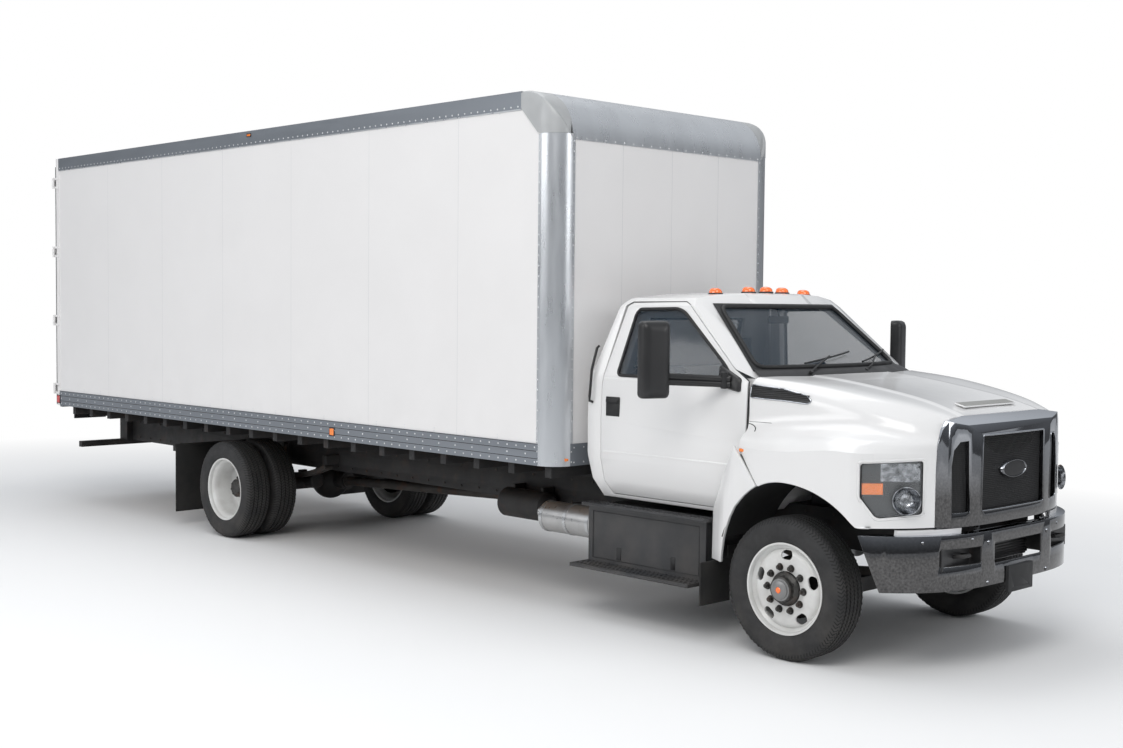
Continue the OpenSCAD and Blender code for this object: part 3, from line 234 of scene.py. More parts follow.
# ------------------------------------------------------------ mesh making
class Part:
    """Vertices and faces of one joined piece, in mm from the front axle."""

    def __init__(self):
        self.v, self.f, self.m = [], [], []

    def add(self, verts, faces, m=0):
        k = len(self.v)
        self.v += [Vector(p) for p in verts]
        self.f += [[k + i for i in f] for f in faces]
        self.m += [m] * len(faces)

    def box(self, a, b, c=2.0, m=0, turn=None, about=None):
        """Box with chamfered edges."""
        lo = [min(a[i], b[i]) for i in range(3)]
        hi = [max(a[i], b[i]) for i in range(3)]
        c = min([c] + [0.45 * (hi[i] - lo[i]) for i in range(3)])
        bm = bmesh.new()
        bmesh.ops.create_cube(bm, size=1)
        for v in bm.verts:
            v.co = Vector([lerp(lo[i], hi[i], v.co[i] + 0.5) for i in range(3)])
        bmesh.ops.bevel(bm, geom=bm.edges[:], offset=c, segments=1, affect="EDGES", clamp_overlap=True)
        verts = [v.co.copy() for v in bm.verts]
        if turn is not None:
            o = Vector(about or [(lo[i] + hi[i]) / 2 for i in range(3)])
            verts = [turn @ (v - o) + o for v in verts]
        bm.verts.index_update()
        self.add(verts, [[v.index for v in f.verts] for f in bm.faces], m)
        bm.free()

    def ring(self, rings, m=0, close=True, caps=True):
        n = len(rings[0])
        verts = [p for r in rings for p in r]
        faces = [[j * n + i, j * n + (i + 1) % n, (j + 1) * n + (i + 1) % n, (j + 1) * n + i]
                 for j in range(len(rings) - 1) for i in range(n if close else n - 1)]
        if caps:
            faces += [list(range(n))[::-1], [(len(rings) - 1) * n + i for i in range(n)]]
        self.add(verts, faces, m)

    def rod(self, a, b, r, n=16, m=0, r2=None, c=1.5):
        a, b = Vector(a), Vector(b)
        u = (b - a).normalized()
        s = u.orthogonal().normalized()
        t = u.cross(s)
        r2 = r if r2 is None else r2
        c = min(c, 0.4 * min(r, r2), 0.4 * (b - a).length)
        def circle(p, q):
            return [p + q * (math.cos(2 * math.pi * i / n) * s + math.sin(2 * math.pi * i / n) * t) for i in range(n)]
        self.ring([circle(a, r - c), circle(a + c * u, r), circle(b - c * u, r2), circle(b, r2 - c)], m)

    def tube(self, pts, r, n=10, m=0, flat=1.0, closed=False, up=None):
        pts = [Vector(p) for p in pts]
        rings = []
        k = len(pts)
        for i, p in enumerate(pts):
            a = pts[(i - 1) % k] if closed or i else p
            b = pts[(i + 1) % k] if closed or i < k - 1 else p
            u = (b - a).normalized()
            ref = Vector(up) if up is not None else (Vector((0, 0, 1)) if abs(u.z) < 0.9 else Vector((1, 0, 0)))
            s = u.cross(ref).normalized()
            t = s.cross(u).normalized()
            rings.append([p + r * math.cos(2 * math.pi * j / n) * s + r * flat * math.sin(2 * math.pi * j / n) * t for j in range(n)])
        if closed:
            rings.append(rings[0])
        self.ring(rings, m, caps=not closed)

    def lathe(self, prof, x, z, n=64, m=0, side=1, wobble=None):
        """Profile (radius, y) turned about the axle line at x, z."""
        rings = []
        for i in range(n + 1):
            a = 2 * math.pi * i / n
            rings.append([Vector((x + (r + (wobble(a, j) if wobble else 0)) * math.cos(a), side * y,
                                  z + (r + (wobble(a, j) if wobble else 0)) * math.sin(a))) for j, (r, y) in enumerate(prof)])
        self.ring(rings, m, close=False, caps=False)

    def prism(self, outline, axis, d0, d1, m=0):
        """Outline in the two other axes, extruded along axis 0, 1 or 2."""
        def put(p, d):
            q = list(p)
            q.insert(axis, d)
            return Vector(q)
        self.ring([[put(p, d0) for p in outline], [put(p, d1) for p in outline]], m)

    def dome(self, p, u, r, h=None, n=8, m=0):
        p, u = Vector(p), Vector(u).normalized()
        s = u.orthogonal().normalized()
        t = u.cross(s)
        h = 0.5 * r if h is None else h
        def circle(d, q):
            return [p + d * u + q * (math.cos(2 * math.pi * i / n) * s + math.sin(2 * math.pi * i / n) * t) for i in range(n)]
        self.ring([circle(-0.5, r), circle(0.35 * h, 0.92 * r), circle(0.8 * h, 0.6 * r), circle(h, 0.15 * r)], m)

    def hexnut(self, p, u, r, h, m=0):
        self.rod(p, Vector(p) + h * Vector(u).normalized(), r, n=6, m=m)

    def mirrored(self):
        q = Part()
        q.v = [Vector((p.x, -p.y, p.z)) for p in self.v]
        q.f = [f[::-1] for f in self.f]
        q.m = self.m[:]
        return q

    def both(self):
        k = self.mirrored()
        n = len(self.v)
        self.v += k.v
        self.f += [[n + i for i in f] for f in k.f]
        self.m += k.m
        return self


def finish_mesh(o, angle=35, weld=True):
    bm = bmesh.new()
    bm.from_mesh(o.data)
    if weld:
        bmesh.ops.remove_doubles(bm, verts=bm.verts, dist=1e-5)
    bmesh.ops.recalc_face_normals(bm, faces=bm.faces)
    bm.to_mesh(o.data)
    bm.free()
    o.data.shade_smooth()
    o.data.set_sharp_from_angle(angle=math.radians(angle))


def modify(o, kind, **settings):
    mod = o.modifiers.new(kind, kind)
    for k, v in settings.items():
        setattr(mod, k, v)
    dg = bpy.context.evaluated_depsgraph_get()
    me = bpy.data.meshes.new_from_object(o.evaluated_get(dg))
    o.modifiers.clear()
    o.data = me


def piece(name, part, mats, body, replaces=(), angle=35, weld=True, bevel=0):
    me = bpy.data.meshes.new(name)
    me.from_pydata([at(p) for p in part.v], [], part.f)
    for m in mats if isinstance(mats, (list, tuple)) else [mats]:
        me.materials.append(m)
    me.polygons.foreach_set("material_index", part.m)
    o = bpy.data.objects.new(name, me)
    scene.collection.objects.link(o)
    finish_mesh(o, angle, weld)
    if bevel:
        modify(o, "BEVEL", width=bevel / 1000, segments=2, limit_method="ANGLE", angle_limit=math.radians(32))
        finish_mesh(o, angle, False)
    if body:
        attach(o, body)
    if replaces:
        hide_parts(*replaces)
    return o


def dressed(node, body, width=2.5, mat=None, angle=32):
    """A copy of a CAD node with rounded edges stands for it."""
    me = frame["nodes"][node].data.copy()
    o = bpy.data.objects.new(node + "_rounded", me)
    scene.collection.objects.link(o)
    bm = bmesh.new()
    bm.from_mesh(me)
    bmesh.ops.remove_doubles(bm, verts=bm.verts, dist=2e-5)
    bmesh.ops.dissolve_limit(bm, angle_limit=math.radians(0.6), verts=bm.verts, edges=bm.edges)
    bm.to_mesh(me)
    bm.free()
    modify(o, "BEVEL", width=width / 1000, segments=2, limit_method="ANGLE", angle_limit=math.radians(angle))
    o.data.shade_smooth()
    o.data.set_sharp_from_angle(angle=math.radians(38))
    if mat:
        o.data.materials.clear()
        o.data.materials.append(mat)
    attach(o, body)
    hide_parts(node)
    return o


for name, node in frame["nodes"].items():
    node.data.shade_smooth()
    node.data.set_sharp_from_angle(angle=math.radians(30))

# ------------------------------------------------------------ sizes shared with the CAD, in mm
AXLE_Z, WHEELBASE = 465.0, 6604.0
BODY_FRONT, BODY_REAR, HALF_W, BODY_TOP, BODY_BOTTOM = -1990.0, -10120.0, 1270.0, 3850.0, 1080.0
CAB_SIDE = [(-470, 870), (-930, 870), (-985, 1000), (-1013, 1160), (-1015, 1450), (-1002, 1760), (-862, 2275), (-800, 2328), (-600, 2356), (-300, 2370)]
DOOR = [(-1690, 900), (-1742, 985), (-1757, 1150), (-1757, 1700), (-1640, 2262), (-1600, 2292), (-1110, 2300), (-1050, 2278),
        (-540, 1845), (-418, 1775), (-418, 1365), (-485, 1255), (-585, 1080), (-660, 960), (-690, 900)]
WINDOW = [(-1612, 1768), (-1540, 2215), (-1510, 2246), (-1150, 2254), (-1080, 2228), (-640, 1880), (-560, 1800), (-590, 1768)]
SHIELD = [(-815, 1862), (-672, 2272), (672, 2272), (815, 1862)]
BACK_WINDOW = [(-620, 1800), (-560, 2180), (560, 2180), (620, 1800)]


def cab_y(z):
    """Half width of the cab's outside at height z."""
    for (y0, z0), (y1, z1) in zip(CAB_SIDE[1:], CAB_SIDE[2:]):
        if z0 <= z <= z1:
            return -lerp(y0, y1, (z - z0) / (z1 - z0))
    return 930.0


def shield_x(y, z, out=0.0):
    """The windshield's surface, on a cylinder of radius 3720 that leans back."""
    n = (math.cos(math.radians(50.26)), math.sin(math.radians(50.26)))
    r = 3720.0
    cx, cz = -340 - r * n[0], 1855 - r * n[1]
    return cx + (math.sqrt((r + out) ** 2 - y * y) - (z - cz) * n[1]) / n[0]


def rounded(pts, r, steps=5):
    """Outline with every corner rounded."""
    out = []
    k = len(pts)
    for i in range(k):
        p, a, b = Vector(pts[i]), Vector(pts[i - 1]), Vector(pts[(i + 1) % k])
        d = min(r, 0.45 * (a - p).length, 0.45 * (b - p).length)
        s, e = p + d * (a - p).normalized(), p + d * (b - p).normalized()
        for j in range(steps + 1):
            t = j / steps
            out.append((1 - t) ** 2 * s + 2 * t * (1 - t) * p + t * t * e)
    return out


def subdivided(pts, step=60.0, closed=True):
    out = []
    for i in range(len(pts) if closed else len(pts) - 1):
        a, b = Vector(pts[i]), Vector(pts[(i + 1) % len(pts)])
        n = max(1, int((b - a).length / step))
        out += [a.lerp(b, j / n) for j in range(n)]
    if not closed:
        out.append(Vector(pts[-1]))
    return out


# ------------------------------------------------------------ wheels
def wheel(name, x, y, side, body, rear):
    """Tyre; y is the tyre's middle, side (not used) the way its outer face looks."""
    hw, r = 127.5, 465.0
    tyre = Part()
    groove = []
    for g in (-78, -40, 0, 40, 78) if not rear else (-66, -22, 22, 66):
        groove += [(g - 6, 0), (g - 4, -12), (g + 4, -12), (g + 6, 0)]
    prof = [(286.5, -hw + 32), (299, -hw + 22), (318, -hw + 9), (345, -hw + 1), (372, -hw), (376, -hw - 1.5 + 2), (403, -hw + 1), (430, -hw + 7), (447, -hw + 14), (458, -hw + 24)]
    prof += [(464.6 - 2.5 * (g / 100) ** 2 + d, g) for g, d in groove]
    prof += [(q, -w) for q, w in prof[9::-1]]
    edge = {8, 9, len(prof) - 9, len(prof) - 10}
    lugs = 72
    tyre.lathe(prof, x, AXLE_Z, n=216, wobble=lambda a, j: (-4.0 if (a * lugs / (2 * math.pi)) % 1 < 0.34 else 0.0) if j in edge else 0.0)
    tyre.v = [Vector((p.x, p.y + y, p.z)) for p in tyre.v]
    return tyre


def rim_part(x, y, side, disc, deep):
    """White steel rim with a disc; disc is its offset from the tyre's middle, outward positive."""
    p = Part()
    o = lambda w: side * w
    face = [(285, -112), (298.5, -112), (298.5, -104), (290, -99), (285.5, -85), (285.5, -70), (262, -48), (256, 30), (268, 62), (285.5, 78), (285.5, 98), (290, 100), (298.5, 104), (298.5, 111), (295, 112), (287, 110), (281, 101), (279, 80), (264, 66)]
    if deep:
        face += [(256, 52), (250, 20), (247, disc + 40), (238, disc + 16), (222, disc + 5), (200, disc), (160, disc), (118, disc), (112, disc - 4), (112, disc - 11), (230, disc - 11), (243, disc + 10)]
    else:
        face += [(258, 62), (250, 72), (238, 84), (222, disc), (200, disc + 4), (160, disc + 4), (118, disc + 2), (112, disc - 2), (112, disc - 9), (220, disc - 9), (245, 60)]
    p.lathe([(r, y + o(w)) for r, w in face + [face[0]]], x, AXLE_Z, n=96)
    return p


def cut_holes(o, centres, axis, r, depth):
    for c in centres:
        cutter = Part()
        c = Vector(c)
        cutter.rod(c - depth * Vector(axis), c + depth * Vector(axis), r, n=28, c=0.1)
        me = bpy.data.meshes.new("cutter")
        me.from_pydata([at(p) for p in cutter.v], [], cutter.f)
        co = bpy.data.objects.new("cutter", me)
        scene.collection.objects.link(co)
        finish_mesh(co)
        modify(o, "BOOLEAN", operation="DIFFERENCE", object=co, solver="EXACT")
        bpy.data.objects.remove(co)
    o.data.shade_smooth()
    o.data.set_sharp_from_angle(angle=math.radians(35))


def around(x, r, n, y, phase=0.0):
    return [(x + r * math.cos(phase + 2 * math.pi * i / n), y, AXLE_Z + r * math.sin(phase + 2 * math.pi * i / n)) for i in range(n)]


for side, word in ((-1, "right"), (1, "left")):
    yf = side * 1012.0
    body = f"wheel_front_{word}"
    piece(f"front_tyre_{word}_tread", wheel("f", 0, yf, side, body, False), MAT["tyre"], body, [f"front_tyre_{word}"], 30)
    rim = piece(f"front_rim_{word}_disc", rim_part(0, yf, side, 88, False), MAT["wheel_white"], body, [f"front_rim_{word}"], 40)
    cut_holes(rim, [p for d in (-0.06, 0, 0.06) for p in around(0, 218, 5, yf + side * 70, 0.3 + d)], (0, 1, 0), 31, 60)
    fit = Part()
    yd = yf + side * 92
    for p in around(0, 142.9, 10, yd):
        fit.rod(p, (p[0], p[1] + side * 4, p[2]), 25, n=20, m=0)
        fit.hexnut((p[0], p[1] + side * 2, p[2]), (0, side, 0), 18, 24, 0)
        fit.rod((p[0], p[1] + side * 20, p[2]), (p[0], p[1] + side * 36, p[2]), 10, n=10, m=0)
    hub = [(205, yf - side * 84), (205, yf - side * 12), (120, yf - side * 8), (110, yf + side * 70), (108, yf + side * 100), (96, yf + side * 112), (84, yf + side * 118), (82, yf + side * 146), (72, yf + side * 150)]
    fit.lathe(hub, 0, AXLE_Z, n=56, m=0)
    fit.lathe([(72, yf + side * 150), (60, yf + side * 152), (59, yf + side * 160), (50, yf + side * 166), (22, yf + side * 168), (20, yf + side * 171)], 0, AXLE_Z, n=48, m=1)
    # The cap's centre takes the glowing orange lamp material: its orange is the cap's own, its glow is painted light,
    # though it is no lamp
    fit.lathe([(20, yf + side * 170), (16, yf + side * 173), (0.5, yf + side * 174)], 0, AXLE_Z, n=32, m=2)
    for p in around(0, 86, 6, yf + side * 116, 0.5):
        fit.hexnut(p, (0, side, 0), 9, 10, 0)
    piece(f"front_hub_{word}", fit, [NUT, CAP_GREY, ORANGE], body, (), 30)
    body = f"wheels_rear_{word}"
    tyres = Part()
    for k in (0, 1):
        w = wheel("r", -WHEELBASE, side * (1125.0 - 300 * k), side, body, True)
        tyres.add(w.v, w.f)
    piece(f"rear_tyres_{word}_tread", tyres, MAT["tyre"], body, [f"rear_tyres_{word}"], 30)
    rim = piece(f"rear_rims_{word}_disc", rim_part(-WHEELBASE, side * 1125.0, side, -138, True), MAT["wheel_white"], body, [f"rear_rims_{word}"], 40)
    cut_holes(rim, [p for d in (-0.1, 0, 0.1) for p in around(-WHEELBASE, 214, 5, side * 987, 0.9 + d)], (0, 1, 0), 24, 30)
    inner = rim_part(-WHEELBASE, side * 825.0, -side, -138, True)
    piece(f"rear_inner_rim_{word}", inner, MAT["wheel_white"], body, (), 40)
    fit = Part()
    yd = side * 987.0
    for p in around(-WHEELBASE, 142.9, 10, yd):
        fit.rod(p, (p[0], p[1] + side * 4, p[2]), 25, n=20, m=0)
        fit.hexnut((p[0], p[1] + side * 2, p[2]), (0, side, 0), 19, 26, 0)
        fit.rod((p[0], p[1] + side * 22, p[2]), (p[0], p[1] + side * 38, p[2]), 10, n=10, m=0)
    fit.lathe([(200, side * 760), (200, side * 930), (112, side * 960), (110, yd + side * 40), (98, yd + side * 62), (90, yd + side * 70), (86, yd + side * 118), (74, yd + side * 128), (0.5, yd + side * 130)], -WHEELBASE, AXLE_Z, n=56, m=0)
    for p in around(-WHEELBASE, 66, 8, yd + side * 126, 0.2):
        fit.hexnut(p, (0, side, 0), 9, 9, 0)
    piece(f"rear_hub_{word}", fit, [NUT, CAP_GREY, ORANGE], body, (), 30)

# ------------------------------------------------------------ hood
ROWS = {
    "crown_z": [(-400, 1812), (-50, 1790), (300, 1742), (600, 1688), (800, 1634), (880, 1606)],
    "crease_y": [(-400, 440), (300, 430), (600, 445), (880, 475)],
    "shoulder_y": [(-400, 945), (40, 885), (390, 825), (700, 735), (880, 655)],
    "shoulder_z": [(-400, 1796), (40, 1758), (390, 1702), (700, 1634), (880, 1572)],
    "waist_y": [(-400, 1012), (0, 985), (400, 945), (700, 868), (880, 748)],
    "waist_z": [(-400, 1470), (0, 1520), (400, 1535), (700, 1500), (880, 1470)],
    "flare_y": [(-400, 1110), (-200, 1160), (0, 1176), (520, 1176), (600, 1150)],
    "flare_z": [(-400, 1352), (0, 1360), (400, 1395), (880, 1385)],
}


def row(name, x):
    return table(x, ROWS[name])


def nose_face(y):
    return 985 - 385 * (abs(y) / 1150) ** 3.2


def nose_side(x):
    return 1150 * (max(0.0, 985 - x) / 385) ** (1 / 3.2)


def arch_z(x):
    return AXLE_Z + 693 * math.sqrt(max(0.0, 1 - (x / (760 if x > 0 else 560)) ** 2))


def hood_edge(x):
    if x < -200:
        return 1350 + (arch_z(-200) - 1350) * (x + 400) / 200
    return max(930.0, arch_z(x))


def smooth_line(pts, steps):
    """Centripetal curve through points, ends kept."""
    out = []
    n = len(pts)
    for i in range(n - 1):
        p1, p2 = Vector(pts[i]), Vector(pts[i + 1])
        p0 = Vector(pts[i - 1]) if i else p1 + (p1 - p2)
        p3 = Vector(pts[i + 2]) if i < n - 2 else p2 + (p2 - p1)
        t1 = (p1 - p0).length ** 0.5
        t2 = t1 + (p2 - p1).length ** 0.5
        t3 = t2 + (p3 - p2).length ** 0.5
        for j in range(steps):
            t = lerp(t1, t2, j / steps)
            a1 = (t1 - t) / t1 * p0 + t / t1 * p1
            a2 = (t2 - t) / (t2 - t1) * p1 + (t - t1) / (t2 - t1) * p2
            a3 = (t3 - t) / (t3 - t2) * p2 + (t - t2) / (t3 - t2) * p3
            b1 = (t2 - t) / t2 * a1 + t / t2 * a2
            b2 = (t3 - t) / (t3 - t1) * a2 + (t - t1) / (t3 - t1) * a3
            out.append((t2 - t) / (t2 - t1) * b1 + (t - t1) / (t2 - t1) * b2)
    out.append(Vector(pts[-1]))
    return out


def hood_section(x, t=0.0):
    crown, crease = row("crown_z", x), row("crease_y", x)
    sy, sz, wy, wz = row("shoulder_y", x), row("shoulder_z", x), row("waist_y", x), row("waist_z", x)
    fz = row("flare_z", x)
    fy = min(row("flare_y", x), nose_side(x)) - t
    wy = min(wy, nose_side(x) - 4)
    low = min(hood_edge(x), fz - 2)
    top = [(0, crown - t), (crease * 0.97, crown - 3 - t), (crease, crown - 1 - t), (crease + 26, crown - 9 - t)]
    side = [(crease + 26, crown - 9 - t), (sy * 0.82 + 0.18 * crease, lerp(crown, sz, 0.42) - t), (sy - 0.3 * t, sz - t), (sy * 0.35 + wy * 0.65 - 0.8 * t, sz - 62 - 0.6 * t), (wy - t, wz), (fy - 0.25 * (fy + t - wy), fz + 50 - 0.5 * t), (fy, fz - 6)]
    pts = [Vector(p) for p in top[:-1]] + smooth_line(side, 6)[:]
    down = [Vector((fy, lerp(fz - 6, low, k / 6))) for k in range(1, 7)]
    return pts + down


def bow(x, y):
    k = 150 * max(0.0, 1 - (y / 1000) ** 2)
    return x + k * max(0.0, min(1.0, -x / 400))


stations = [-400 + 20 * i for i in range(48)] + [560 + 15 * i for i in range(21)] + [875]
rings = []
for x in stations:
    half = hood_section(x)
    inner = hood_section(x, 20.0)
    R = [Vector((bow(x, p.x), -p.x, p.y)) for p in half[::-1]]
    L = [Vector((bow(x, p.x), p.x, p.y)) for p in half[1:]]
    RI = [Vector((bow(x, p.x), -p.x, p.y)) for p in inner[1:]]
    LI = [Vector((bow(x, p.x), p.x, p.y)) for p in inner[::-1]]
    rings.append(R + L + LI + RI)
hood = Part()
n = len(rings[0])
hood.ring(rings, caps=False)
for j in (0, len(rings) - 1):
    quads = [[j * n + i, j * n + i + 1, j * n + n - 2 - i, j * n + n - 1 - i] for i in range(n // 2 - 1)]
    hood.f += [q[::-1] if j == 0 else q for q in quads]
    hood.m += [0] * len(quads)
hood_obj = piece("hood_skin", hood, MAT["cab_white"], HOOD, ["hood"], 32)

TURN = Matrix.Rotation(math.radians(-50), 3, "Z")
LAMP = [(-190, 1118), (-190, 1314), (-180, 1326), (186, 1342), (196, 1332), (196, 1028), (182, 1014), (-72, 992), (-100, 1002)]


def lamp_at(d, y, z, side=-1):
    """A point in the headlight's own directions: d outward, y across, z up."""
    q = TURN @ Vector((d, y, 0)) + Vector((719, -1019, z))
    return Vector((q.x, -side * q.y, q.z)) if side > 0 else q


def solid_cut(o, part):
    me = bpy.data.meshes.new("cutter")
    me.from_pydata([at(p) for p in part.v], [], part.f)
    co = bpy.data.objects.new("cutter", me)
    scene.collection.objects.link(co)
    finish_mesh(co)
    modify(o, "BOOLEAN", operation="DIFFERENCE", object=co, solver="EXACT")
    bpy.data.objects.remove(co)
    o.data.shade_smooth()
    o.data.set_sharp_from_angle(angle=math.radians(32))


cut = Part()
cut.ring([[lamp_at(-110, y, z) for y, z in rounded(LAMP, 16, 4)], [lamp_at(300, y, z) for y, z in rounded(LAMP, 16, 4)]])
cut.both()
solid_cut(hood_obj, cut)


def lamp_front(y, z, back=0.0):
    """Distance outward at which the nose's face is met, in the headlight's directions."""
    d = 150.0
    for _ in range(60):
        q = lamp_at(d, y, z)
        f = nose_face(q.y) - 2 - back - q.x
        d += 0.6 * f
    return d


for side, word in ((-1, "right"), (1, "left")):
    lens, inside = Part(), Part()
    out = rounded([(y * 0.985, z) for y, z in LAMP], 18, 4)
    ys = sorted({p[0] for p in out})
    cols = 26
    def clip(y):
        """Lowest and highest Z of the lamp's outline at y."""
        zs = []
        for i in range(len(out)):
            a, b = out[i - 1], out[i]
            if (a[0] - y) * (b[0] - y) <= 0 and abs(a[0] - b[0]) > 1e-6:
                zs.append(lerp(a[1], b[1], (y - a[0]) / (b[0] - a[0])))
        return (min(zs), max(zs)) if zs else (1200, 1201)
    for back, part, m in ((0.0, lens, 0), (5.0, lens, 0)):
        pass
    grid0, grid1 = [], []
    for i in range(cols + 1):
        y = lerp(ys[0] + 1.5, ys[-1] - 1.5, i / cols)
        z0, z1 = clip(y)
        colm = [lerp(z0 + 1.5, z1 - 1.5, j / 12) for j in range(13)]
        grid0.append([lamp_at(lamp_front(y, z), y, z, side) for z in colm])
        grid1.append([lamp_at(lamp_front(y, z) - 5, y, z, side) for z in colm][::-1])
    lens.ring([a + b for a, b in zip(grid0, grid1)], caps=True)
    piece(f"headlight_lens_{word}", lens, MAT["lamp_glass"], HOOD, [f"headlights"] if side < 0 else (), 40)
    # Bowl behind the lens: black walls, a ribbed band above and a round reflector below
    back = [[lamp_at(-58, y, z, side) for y, z in out], [lamp_at(-50, y, z, side) for y, z in out]]
    inside.ring(back, m=0)
    wall_out, wall_in = [], []
    for y, z in out:
        d = lamp_front(y, z)
        wall_out.append((lamp_at(-58, y, z, side), lamp_at(d + 1.5, y, z, side)))
        cy, cz = 10, 1166
        k = 0.965
        wall_in.append((lamp_at(-50, cy + (y - cy) * k, cz + (z - cz) * k, side), lamp_at(lamp_front(cy + (y - cy) * k, cz + (z - cz) * k) + 1.5, cy + (y - cy) * k, cz + (z - cz) * k, side)))
    inside.ring([[a for a, b in wall_out], [b for a, b in wall_out], [b for a, b in wall_in], [a for a, b in wall_in]], m=0, caps=False)
    for i in range(9):
        z = 1212 + 12.5 * i
        for y0, y1 in ((-60, 178),):
            d = min(lamp_front(y0, z), lamp_front(y1, z)) - 34
            inside.ring([[lamp_at(-48, y0, z, side), lamp_at(d, y0, z + 2, side), lamp_at(d, y0, z + 7, side), lamp_at(-48, y0, z + 12, side)],
                         [lamp_at(-48, y1, z, side), lamp_at(d, y1, z + 2, side), lamp_at(d, y1, z + 7, side), lamp_at(-48, y1, z + 12, side)]], m=1)
    for cy, cz, rr in ((92, 1102, 82), (-14, 1104, 0)):
        if rr:
            bowl = []
            for k in range(9):
                q = k / 8
                bowl.append((rr * (0.16 + 0.84 * q), -44 + 62 * q * q))
            bowl.append((rr * 1.06, 18))
            ringset = [[lamp_at(d, cy + r * math.cos(2 * math.pi * i / 40), cz + r * math.sin(2 * math.pi * i / 40), side) for i in range(40)] for r, d in bowl]
            inside.ring(ringset, m=1, caps=False)
            bulb = [[lamp_at(d, cy + r * math.cos(2 * math.pi * i / 20), cz + r * math.sin(2 * math.pi * i / 20), side) for i in range(20)] for r, d in ((14, -44), (14, -18), (9, -10), (2, -8))]
            inside.ring(bulb, m=3)
    for y0, y1, z0, z1 in ((-178, -50, 1136, 1204),):
        d = min(lamp_front(y0, z0), lamp_front(y1, z0)) - 12
        inside.ring([[lamp_at(-46, y0, z0, side), lamp_at(-46, y1, z0, side), lamp_at(-46, y1, z1, side), lamp_at(-46, y0, z1, side)],
                     [lamp_at(lamp_front(y0, z0) - 12, y0, z0, side), lamp_at(lamp_front(y1, z0) - 12, y1, z0, side), lamp_at(lamp_front(y1, z1) - 12, y1, z1, side), lamp_at(lamp_front(y0, z1) - 12, y0, z1, side)]], m=2)
    piece(f"headlight_bowl_{word}", inside, [MAT["trim_black"], LAMP_METAL, AMBER, MAT["lamp_glass"]], HOOD, (), 35)

brow = Part()
brow_line = subdivided(rounded([(y * 1.06, 1166 + (z - 1166) * 1.07) for y, z in LAMP], 26, 5), 30)
brow.tube([lamp_at(lamp_front(y, z) - 3, y, z) for y, z in brow_line if lamp_at(lamp_front(y, z), y, z).y > -1172], 9, n=8)
brow.both()
piece("lamp_brows", brow, MAT["cab_white"], HOOD, (), 60)
# Arch lip, nose slots, side vents and the small markers of the hood
trim = Part()
edge = [(x, min(row("flare_y", x), nose_side(x)) - 7, hood_edge(x) + 4) for x in range(-196, 640, 14)]
trim.tube([(x, -y, z) for x, y, z in edge], 8, n=8)
trim.both()
piece("arch_lips", trim, MAT["cab_white"], HOOD, (), 40)
liner, fixed = Part(), Part()
def liner_line(x, grow):
    return AXLE_Z + (693 + grow) * math.sqrt(max(0.0, 1 - (x / ((760 if x > 0 else 560) + grow)) ** 2))
xs = [-186 + 18 * i for i in range(47)]
liner.ring([[(x, y, max(940, liner_line(x, 22))) for y in (-1138, -1000, -860, -700, -600)] for x in xs], close=False, caps=False)
liner.both()
piece("fender_liner", liner, MAT["flap_rubber"], HOOD, (), 50)
xs = [-200 - 17 * i for i in range(20)]
fixed.ring([[(x, y, max(600, liner_line(x, 8))) for y in (-1120, -1000, -860, -700, -600)] for x in xs], close=False, caps=False)
fixed.both()
piece("rear_fender_liner", fixed, MAT["flap_rubber"], CHASSIS, (), 50)
slots = Part()
tilt = Matrix.Rotation(math.radians(14.5), 3, "Y")
slots.box((716, -321, 1650), (800, 321, 1662), 6, turn=tilt, about=(758, 0, 1656))
slots.box((724, -312, 1660), (792, 312, 1664.5), 2, m=1, turn=tilt, about=(758, 0, 1656))
piece("hood_recesses", slots, [MAT["cab_white"], HEADLINER], HOOD, (), 35)
vent, vent_rim = Part(), Part()


def hood_side_y(x, z):
    """Outer surface of the hood's flank at a height between its shoulder and waist."""
    s = hood_section(x)
    best = 0.0
    for a, b in zip(s, s[1:]):
        if (a.y - z) * (b.y - z) <= 0 and abs(a.y - b.y) > 1e-6:
            best = max(best, lerp(a.x, b.x, (z - a.y) / (b.y - a.y)))
    return best


VENT = [(-392, 1758), (-392, 1672), (-120, 1662), (40, 1650), (74, 1668), (30, 1702), (-150, 1738)]
loop = rounded(VENT, 18, 4)
ring_pts = [(x, -hood_side_y(x, z) - 3, z) for x, z in subdivided(loop, 30)]
vent_rim.tube(ring_pts, 5, n=8, closed=True)
vent_rim.both()
piece("vent_frames", vent_rim, MAT["chrome_trim"], HOOD, (), 45)
for i in range(7):
    z = 1678 + i * 11.5
    xs = [x for x in range(-384, 60, 12) if z < lerp(1758, 1712, (x + 392) / 450) - 6 and z > lerp(1672, 1650, (x + 392) / 430) + 2]
    if len(xs) > 2:
        vent.tube([(x, -hood_side_y(x, z) - 6, z) for x in xs], 4.6, n=6)
back_ring = [Vector((x, -hood_side_y(x, z) - 3, z)) for x, z in subdivided(loop, 30)]
mid = Vector((-160, -hood_side_y(-160, 1700) - 6, 1700))
vent.add([mid] + back_ring, [[0, i + 1, (i + 1) % len(back_ring) + 1] for i in range(len(back_ring))])
vent.both()
piece("vent_blades", vent, MAT["trim_black"], HOOD, (), 40)
seams = Part()
arc = [(-398 + 70 * math.cos(q), 1452 + 46 * math.sin(q)) for q in [math.pi * k / 18 for k in range(10)]]
seams.tube([(x, -hood_side_y(x, z) - 1.4, z) for x, z in arc], 3.0, n=6)
seams.tube([(x, -hood_side_y(x, 1512) - 0.6, 1512) for x in range(-396, -196, 20)], 1.5, n=6)
seams.both()
piece("hood_flank_seams", seams, RUBBER, HOOD, (), 50)
mark = Part()
mark.box((-386, -1126, 1318), (-318, -1108, 1342), 5, m=0)
mark.both()
piece("flare_markers", mark, AMBER, HOOD, (), 40)

# ------------------------------------------------------------ grille
dressed("grille_surround", HOOD, 5.0)
mesh = Part()


